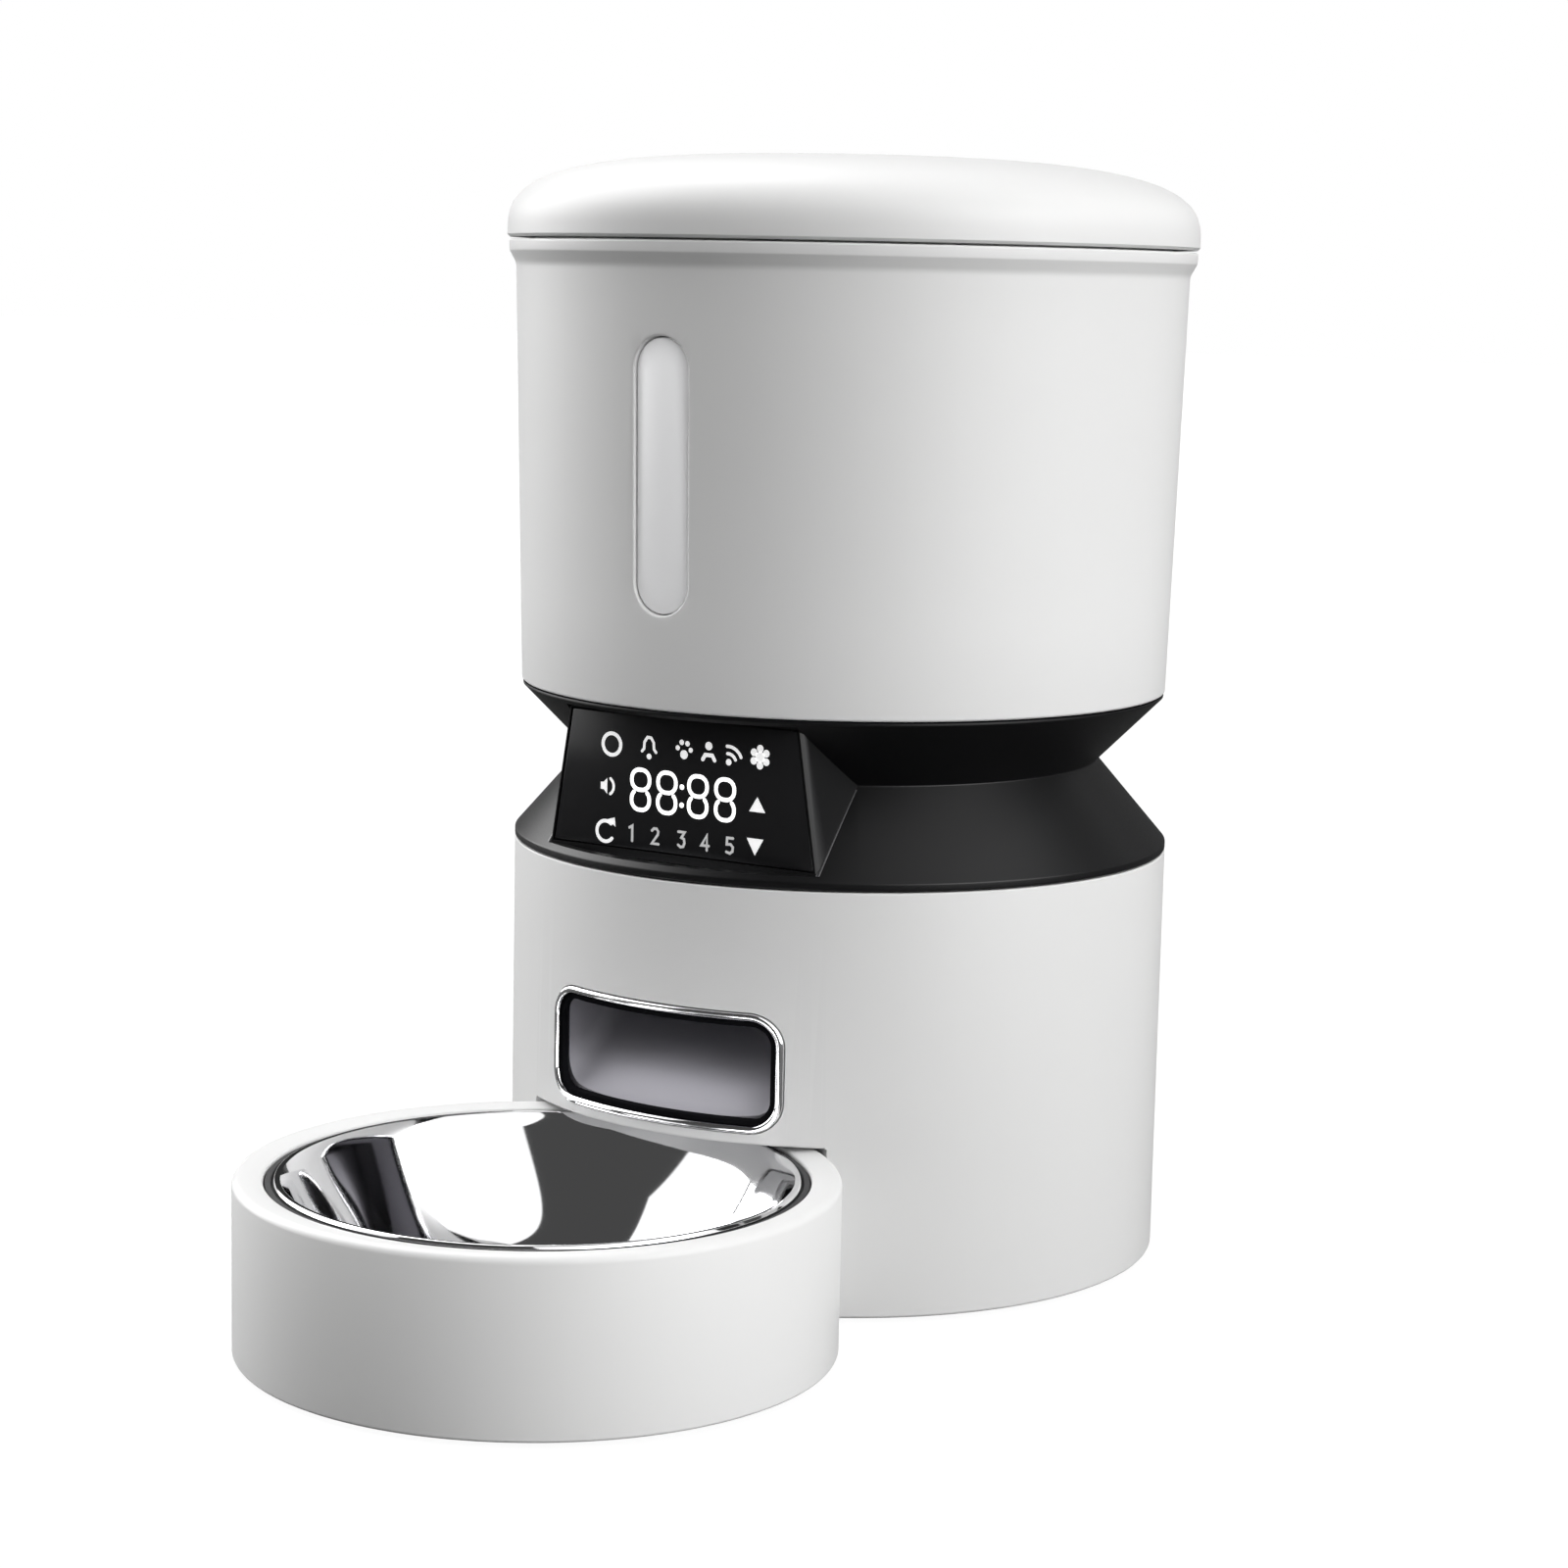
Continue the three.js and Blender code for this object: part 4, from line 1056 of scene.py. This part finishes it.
def build_battery_bay():
    door = make("battery_cover", raised(door_outline(57.9), 3, 4.4))
    join(door, raised(door_outline(56.4), 1.5, 3.1))
    grips = [raised(round_bar(14, y, y + 1.6, 0.7), 1, 2) for y in (74, 77.6, 81.2, 84.8)]
    arrow = raised([(-5, 66), (5, 66), (0, 71)], 1, 1.9)
    cut(door, grouped(*grips, arrow))
    show(door, grey_plastic, "door", "battery_door")

    cell_z, button, seal_inner = 22, 5, 13.5
    can = rounded([
        (0, 0), (15.6, 0, 0.6), (16.6, 1, 0.6), (16.6, 59, 0.6), (15.4, 60, 0.6), (4.6, 60, 0.3),
        (4.6, 61.5, 0.4), (0, 61.5),
    ], 4)
    for i, x in enumerate((-36, 0, 36), 1):
        cell = make(f"cell_{i}", moved(laid_back(turned(can, SMALL_RING)), x, -10.4, cell_z))
        cell.data.materials.append(battery_sleeve)
        cell.data.materials.append(steel)
        for face in cell.data.polygons:
            aside = face.center.x / MM - x - TOWER[0] / MM
            away = hypot(aside, face.center.z / MM - cell_z)
            bare_end = away < seal_inner and abs(face.normal.y) > 0.5
            face.material_index = 1 if bare_end or away < button else 0
        show(cell, battery_sleeve, "base", f"battery_{i}")

    barrel = rounded([
        (0, 0), (4.7, 0, 0.4), (4.7, 14, 0.5), (3, 14, 0.5), (3, 3), (1, 3), (1, 12, 0.5), (0, 12),
    ], 4)
    socket = make("inlet_socket", moved(laid_back(turned(barrel, TINY_RING)), 0, 80.2, 24))
    show(socket, black_part, "base", "power_inlet")
    cone = rounded([
        (0, 0), (8, 0, 0.5), (8, 6, 0.5), (15, 9.5, 0.5), (15, 12, 0.3), (13.4, 12, 0.2),
        (12.4, 10.8, 0.4), (6, 8.6, 0.4), (4.5, 9.6, 1), (0, 10.2),
    ], 4)
    driver = make("loudspeaker", moved(laid_back(turned(cone, TINY_RING * 2)), 0, 78, 84))
    show(driver, black_part, "base", "speaker")


build_body()
build_chute()
build_base()
build_battery_bay()


# ---- dispenser
def ring_sector(inner, outer, half_angle, steps=24):
    angles = [-pi / 2 - half_angle + 2 * half_angle * k / steps for k in range(steps + 1)]
    return [(outer * cos(a), outer * sin(a)) for a in angles] + [
        (inner * cos(a), inner * sin(a)) for a in reversed(angles)
    ]


def build_dispenser():
    bore, cup, deck_z, deck_top, cup_top = 4.4, 62.5, 117.5, 120.5, 150
    edge = 91
    profile = rounded([
        (bore, deck_z), (edge, deck_z, 0.5), (edge, deck_top, 0.5), (cup + 2.5, deck_top, 2),
        (cup + 2.5, cup_top, 0.6), (cup, cup_top, 0.6), (cup, deck_top, 1.2), (bore, deck_top),
    ])
    deck = make("dispenser_floor", turned(profile))
    drop = raised(ring_sector(29, 58, pi / 6), 110, 125)
    holes = repeated(rod(1.9, 110, 125), ((-29, 18), (44.5, 6), (8, 48)))
    cut(deck, drop, holes)
    show(deck, grey_plastic, "base", "dispenser_deck")

    guard_ring = [(60.6, 145, 0.3), (62.2, 145, 0.3), (62.2, 149.8, 0.4), (60.6, 149.8, 0.4)]
    guard = make("portion_shield", turned(rounded(guard_ring)))
    join(guard, raised(ring_sector(20, 61.5, pi / 6 + 0.14), 145, 146.6))
    show(guard, grey_plastic, "base", "portion_guard")

    hub = rounded([(bore, 122), (12, 122, 0.6), (12, 141, 1.2), (9, 144, 1), (bore, 144)])
    rotor = make("portion_wheel", turned(hub, SMALL_RING))
    blade = rounded([
        (10, -1.5), (50, -1.3), (59.5, -0.7, 0.65), (59.5, 0.7, 0.65), (50, 1.3), (10, 1.5),
    ], 4)
    join(rotor, *[spun(raised(blade, 122, 144), i * pi / 3) for i in range(6)])
    show(rotor, silicone, "rotor", "impeller")

    cap = rounded([
        (0, 151.5), (bore, 151.5), (bore, 144.8), (9, 144.8, 0.4), (9, 153, 1.5), (4, 158, 2),
        (0, 158),
    ])
    agitator = make("agitator", turned(cap, SMALL_RING))
    arm = raised(round_bar(42, -2.5, 2.5, 2.4), 152, 155)
    fingers = [moved(rod(2.2, 153, 165, TINY_RING, 1.2), x, 0) for x in (-39, 39)]
    join(agitator, arm, *fingers)
    show(agitator, nylon, "rotor", "stirrer")

    shaft = make("drive_shaft", rod(4, 97.2, 150.9, TINY_RING * 2, 0.5))
    show(shaft, steel, "rotor", "rotor_shaft")


build_dispenser()


# ---- bowl and its tray
def build_tray():
    radius, low, top = levels("bowl_tray")
    inner, lip, seat = radius - 8, 67.6, top - 4.4
    under = seat - 2.2
    shell = rounded([
        (0, low), (radius, low, 0.9), (radius, top, 2.0), (inner, top - 0.9, 0.8), (inner, seat),
        (lip, seat), (lip, under), (radius - 2.6, under), (radius - 2.6, 4, 1.5), (0, 4),
    ])
    tray = make("bowl_stand", turned(shell), TRAY)
    near, far = radius - 1.5, radius + 5
    plan = rounded([(-12, near), (12, near), (12, far, 2.5), (-12, far, 2.5)])
    tongue = raised(plan, 10, 18.4)
    join(tray, tongue, axis=TRAY)
    show(tray, white_shell, "tray", "bowl_tray")

    pad_section = [
        (0, 0.15), (4.6, 0.15, 0.1), (5.0, 0, 0.1), (6, 0, 0.25), (6, 0.9, 0.1), (0, 0.9),
    ]
    pad_solid = turned(rounded(pad_section, 3), TINY_RING * 2)
    for i, degrees in enumerate((30, 150, 270), 1):
        angle = radians(degrees)
        place = (66 * cos(angle), 66 * sin(angle))
        pad = make(f"stand_pad_{i}", moved(pad_solid, *place), TRAY)
        show(pad, rubber, "tray", f"tray_pad_{i}")

    foot = seat + 0.4
    gasket = rounded([
        (68, foot), (71.1, foot), (71.1, foot + 2.4, 0.4), (69.4, foot + 2.4, 0.4),
        (69.4, foot + 1.4), (68, foot + 1.4),
    ])
    show(make("bowl_seat_seal", turned(gasket), TRAY), rubber, "tray", "bowl_gasket")

    rim = top - 2.2
    rolled = rounded([
        (66.4, rim - 1), (67.2, rim, 0.3), (68.4, rim, 0.2), (69, rim + 0.7, 0.35),
        (68.4, rim + 1.6, 0.5), (67.2, rim + 1.6, 0.6), (65.6, rim - 0.4),
    ])
    outside = bend([(31, 8), (47, 8), (58, 23.6), (66.4, rim - 1)])
    inside = bend([(65.6, rim - 0.4), (57, 24.4), (46.4, 9), (31, 9)])
    profile = [(0, 8), *outside[:-1], *rolled[:-1], *inside, (0, 9)]
    bowl = make("bowl", turned(profile, 256), TRAY)
    show(bowl, bowl_steel, "tray", "steel_bowl", sharp=60)


build_tray()

# ---- CAD nodes that stay
KEPT_NODES = [
    (grey_plastic, ["battery_box"]),
    (brass, ["contacts_front", "contacts_rear", "motor_pinion"]),
    (circuit_board, ["main_board", "display_board"]),
    (nylon, ["board_connector", "output_gear", "idler_gear"]),
    (black_part, ["board_capacitor", "food_sensor_left", "food_sensor_right"]),
    (black_part, ["gear_case", "display_module"]),
    (steel, ["idler_axle", "gear_motor", "case_screw_1", "case_screw_2", "case_screw_3"]),
]
for kept_material, node_names in KEPT_NODES:
    for node_name in node_names:
        for slot_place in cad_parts[node_name].material_slots:
            slot_place.link = "OBJECT"
            slot_place.material = kept_material


# ---- light and floor
ROOM_LIGHT = 0.15
SIDE_LIGHT = 1.15
# panels of light and dark gaps round the room, each laid over the ones before it: azimuth from the
# front towards +X, elevation and softness of the edges in degrees, and radiance
LIGHT_PANELS = [
    (-182, 182, 66, 92, 4, 0.5),
    (-142, -100, 32, 68, 8, 4.4),
    (0, 110, -8, 91, 0.5, SIDE_LIGHT),
    (-108, 0, -8, 91, 0.5, SIDE_LIGHT),
    (61, 108, -2, 42, 15, 6.5),
    (-106, -60, -2, 50, 15, 6.9),
    (-90.5, -88.5, -90, 16, 0.5, 0.05),
    (-165, -112, -90, 25, 4, 0.03),
]
REAR_SPAN = (90, 181, 0.5)  # azimuths and softness of the quarter behind the object on its right
REAR_HEIGHT = (-8, 91, 0.5)
# upright strips in that quarter: how far back each starts, as the part of the direction that
# points along +Y, and its radiance
BACK_STRIPS = [(0.52, 0.03), (0.68, 0.4), (0.71, 0.06), (0.83, 0.5), (0.93, 0.03), (0.955, 0.2)]
STRIP_EDGE = 0.004
HIGH_PATCH = ((136, 156, 6), (48, 64, 5), 3.4)  # azimuth, elevation and radiance of a bright patch
# the dark between the side panels, over the front: its radiance, the range of +Y where it ends,
# and how far it reaches to the east and west, as parts of the direction: at most, level with the
# object, less as it rises, and at least
GAP_LIGHT = 0.062
GAP_END = (0.2, 0.32)
GAP_EAST = (0.79, 1.11, 0.96, 0.0)
GAP_WEST = (0.76, 1.0, 0.9, 0.44)
GAP_EDGE = 0.006


def light_world():
    """A dim room with broad panels of light and dark gaps; the camera sees it as plain white."""
    world = bpy.data.worlds.new("studio")
    bpy.context.scene.world = world
    tree = Tree(world)
    background = tree.nodes["Background"]
    split = tree.add("ShaderNodeSeparateXYZ")
    tree.link(tree.add("ShaderNodeTexCoord").outputs["Generated"], split.inputs[0])
    east, north, rise = split.outputs
    azimuth = tree.math("ARCTAN2", east, tree.times(north, -1.0))
    elevation = tree.math("ARCSINE", rise)

    def span(value, start, end, soft):
        """1 between two angles in degrees, with edges soft degrees wide."""
        start, end, soft = radians(start), radians(end), radians(soft)
        above = tree.step(value, start - soft, start + soft)
        below = tree.step(value, end - soft, end + soft, 1.0, 0.0)
        return tree.times(above, below)

    def gap_reach(widest, level, loss, narrowest):
        reach = tree.math("SUBTRACT", level, tree.times(rise, loss))
        return tree.math("MINIMUM", widest, tree.math("MAXIMUM", narrowest, reach))

    light = ROOM_LIGHT
    for left, right, low, high, soft, radiance in LIGHT_PANELS:
        inside = tree.times(span(azimuth, left, right, soft), span(elevation, low, high, soft))
        light = tree.mix(inside, light, radiance)
    rear = span(azimuth, *REAR_SPAN)
    rear_panel = tree.times(rear, span(elevation, *REAR_HEIGHT))
    light = tree.math("MAXIMUM", light, tree.times(rear_panel, SIDE_LIGHT))
    for start, radiance in BACK_STRIPS:
        strip = tree.times(tree.step(north, start - STRIP_EDGE, start + STRIP_EDGE), rear)
        light = tree.mix(strip, light, radiance)
    across, up, radiance = HIGH_PATCH
    light = tree.mix(tree.times(span(azimuth, *across), span(elevation, *up)), light, radiance)
    gap = tree.step(north, *GAP_END, 1.0, 0.0)
    for inset in (
        tree.math("SUBTRACT", gap_reach(*GAP_EAST), east),
        tree.math("ADD", gap_reach(*GAP_WEST), east),
    ):
        gap = tree.times(gap, tree.step(inset, -GAP_EDGE, GAP_EDGE))
    light = tree.mix(gap, light, GAP_LIGHT)
    seen = tree.add("ShaderNodeLightPath").outputs["Is Camera Ray"]
    tree.link(tree.mix(seen, light, 1.0), background.inputs["Strength"])
    background.inputs["Color"].default_value = (1, 1, 1, 1)


def place_lamp(name, place, aim, width, height, energy):
    """An area lamp out of sight of the camera and of reflections; place and aim are (x, y, z)."""
    data = bpy.data.lights.new(name, "AREA")
    data.shape = "RECTANGLE"
    data.size, data.size_y = width * MM, height * MM
    data.energy = energy
    lamp = placed(name, data)
    axis = Vector((TOWER[0], TOWER[1], 0))
    lamp.location = axis + Vector(place) * MM
    lamp.rotation_euler = (Vector(aim) - Vector(place)).to_track_quat("-Z", "Y").to_euler()
    lamp.visible_camera = False
    lamp.visible_glossy = False


def light_lamps():
    """A soft lamp behind the tower, and a small one under the chute's roof that shows its ramp."""
    place_lamp("back_fill", (0, 1600, 500), (0, 0, 150), 1000, 1000, 3)
    place_lamp("chute_fill", (0, -87.5, 68), (0, -86.5, 50), 56, 7, 0.0037)


def lay_floor():
    """A pale floor that the camera sees nearly as bright as the room's white."""
    mesh = bpy.data.meshes.new("floor")
    reach = 12
    corners = [(-reach, -reach, 0), (reach, -reach, 0), (reach, reach, 0), (-reach, reach, 0)]
    mesh.from_pydata(corners, [], [(0, 1, 2, 3)])
    floor = placed("floor", mesh)
    material = surface("floor", (0.06, 0.06, 0.06), 0.8, mottle=0.01, patch=300, relief=0, specular=0.1)
    tree = Tree(material)
    shader = tree.nodes["Principled BSDF"]
    shader.inputs["Emission Color"].default_value = (1, 1, 1, 1)
    seen = tree.add("ShaderNodeLightPath").outputs["Is Camera Ray"]
    tree.link(tree.times(seen, 0.95), shader.inputs["Emission Strength"])
    floor.data.materials.append(material)


light_world()
light_lamps()
lay_floor()
view_settings = bpy.context.scene.view_settings
view_settings.view_transform = "Standard"
view_settings.look = "None"
bpy.context.scene.render.film_transparent = False
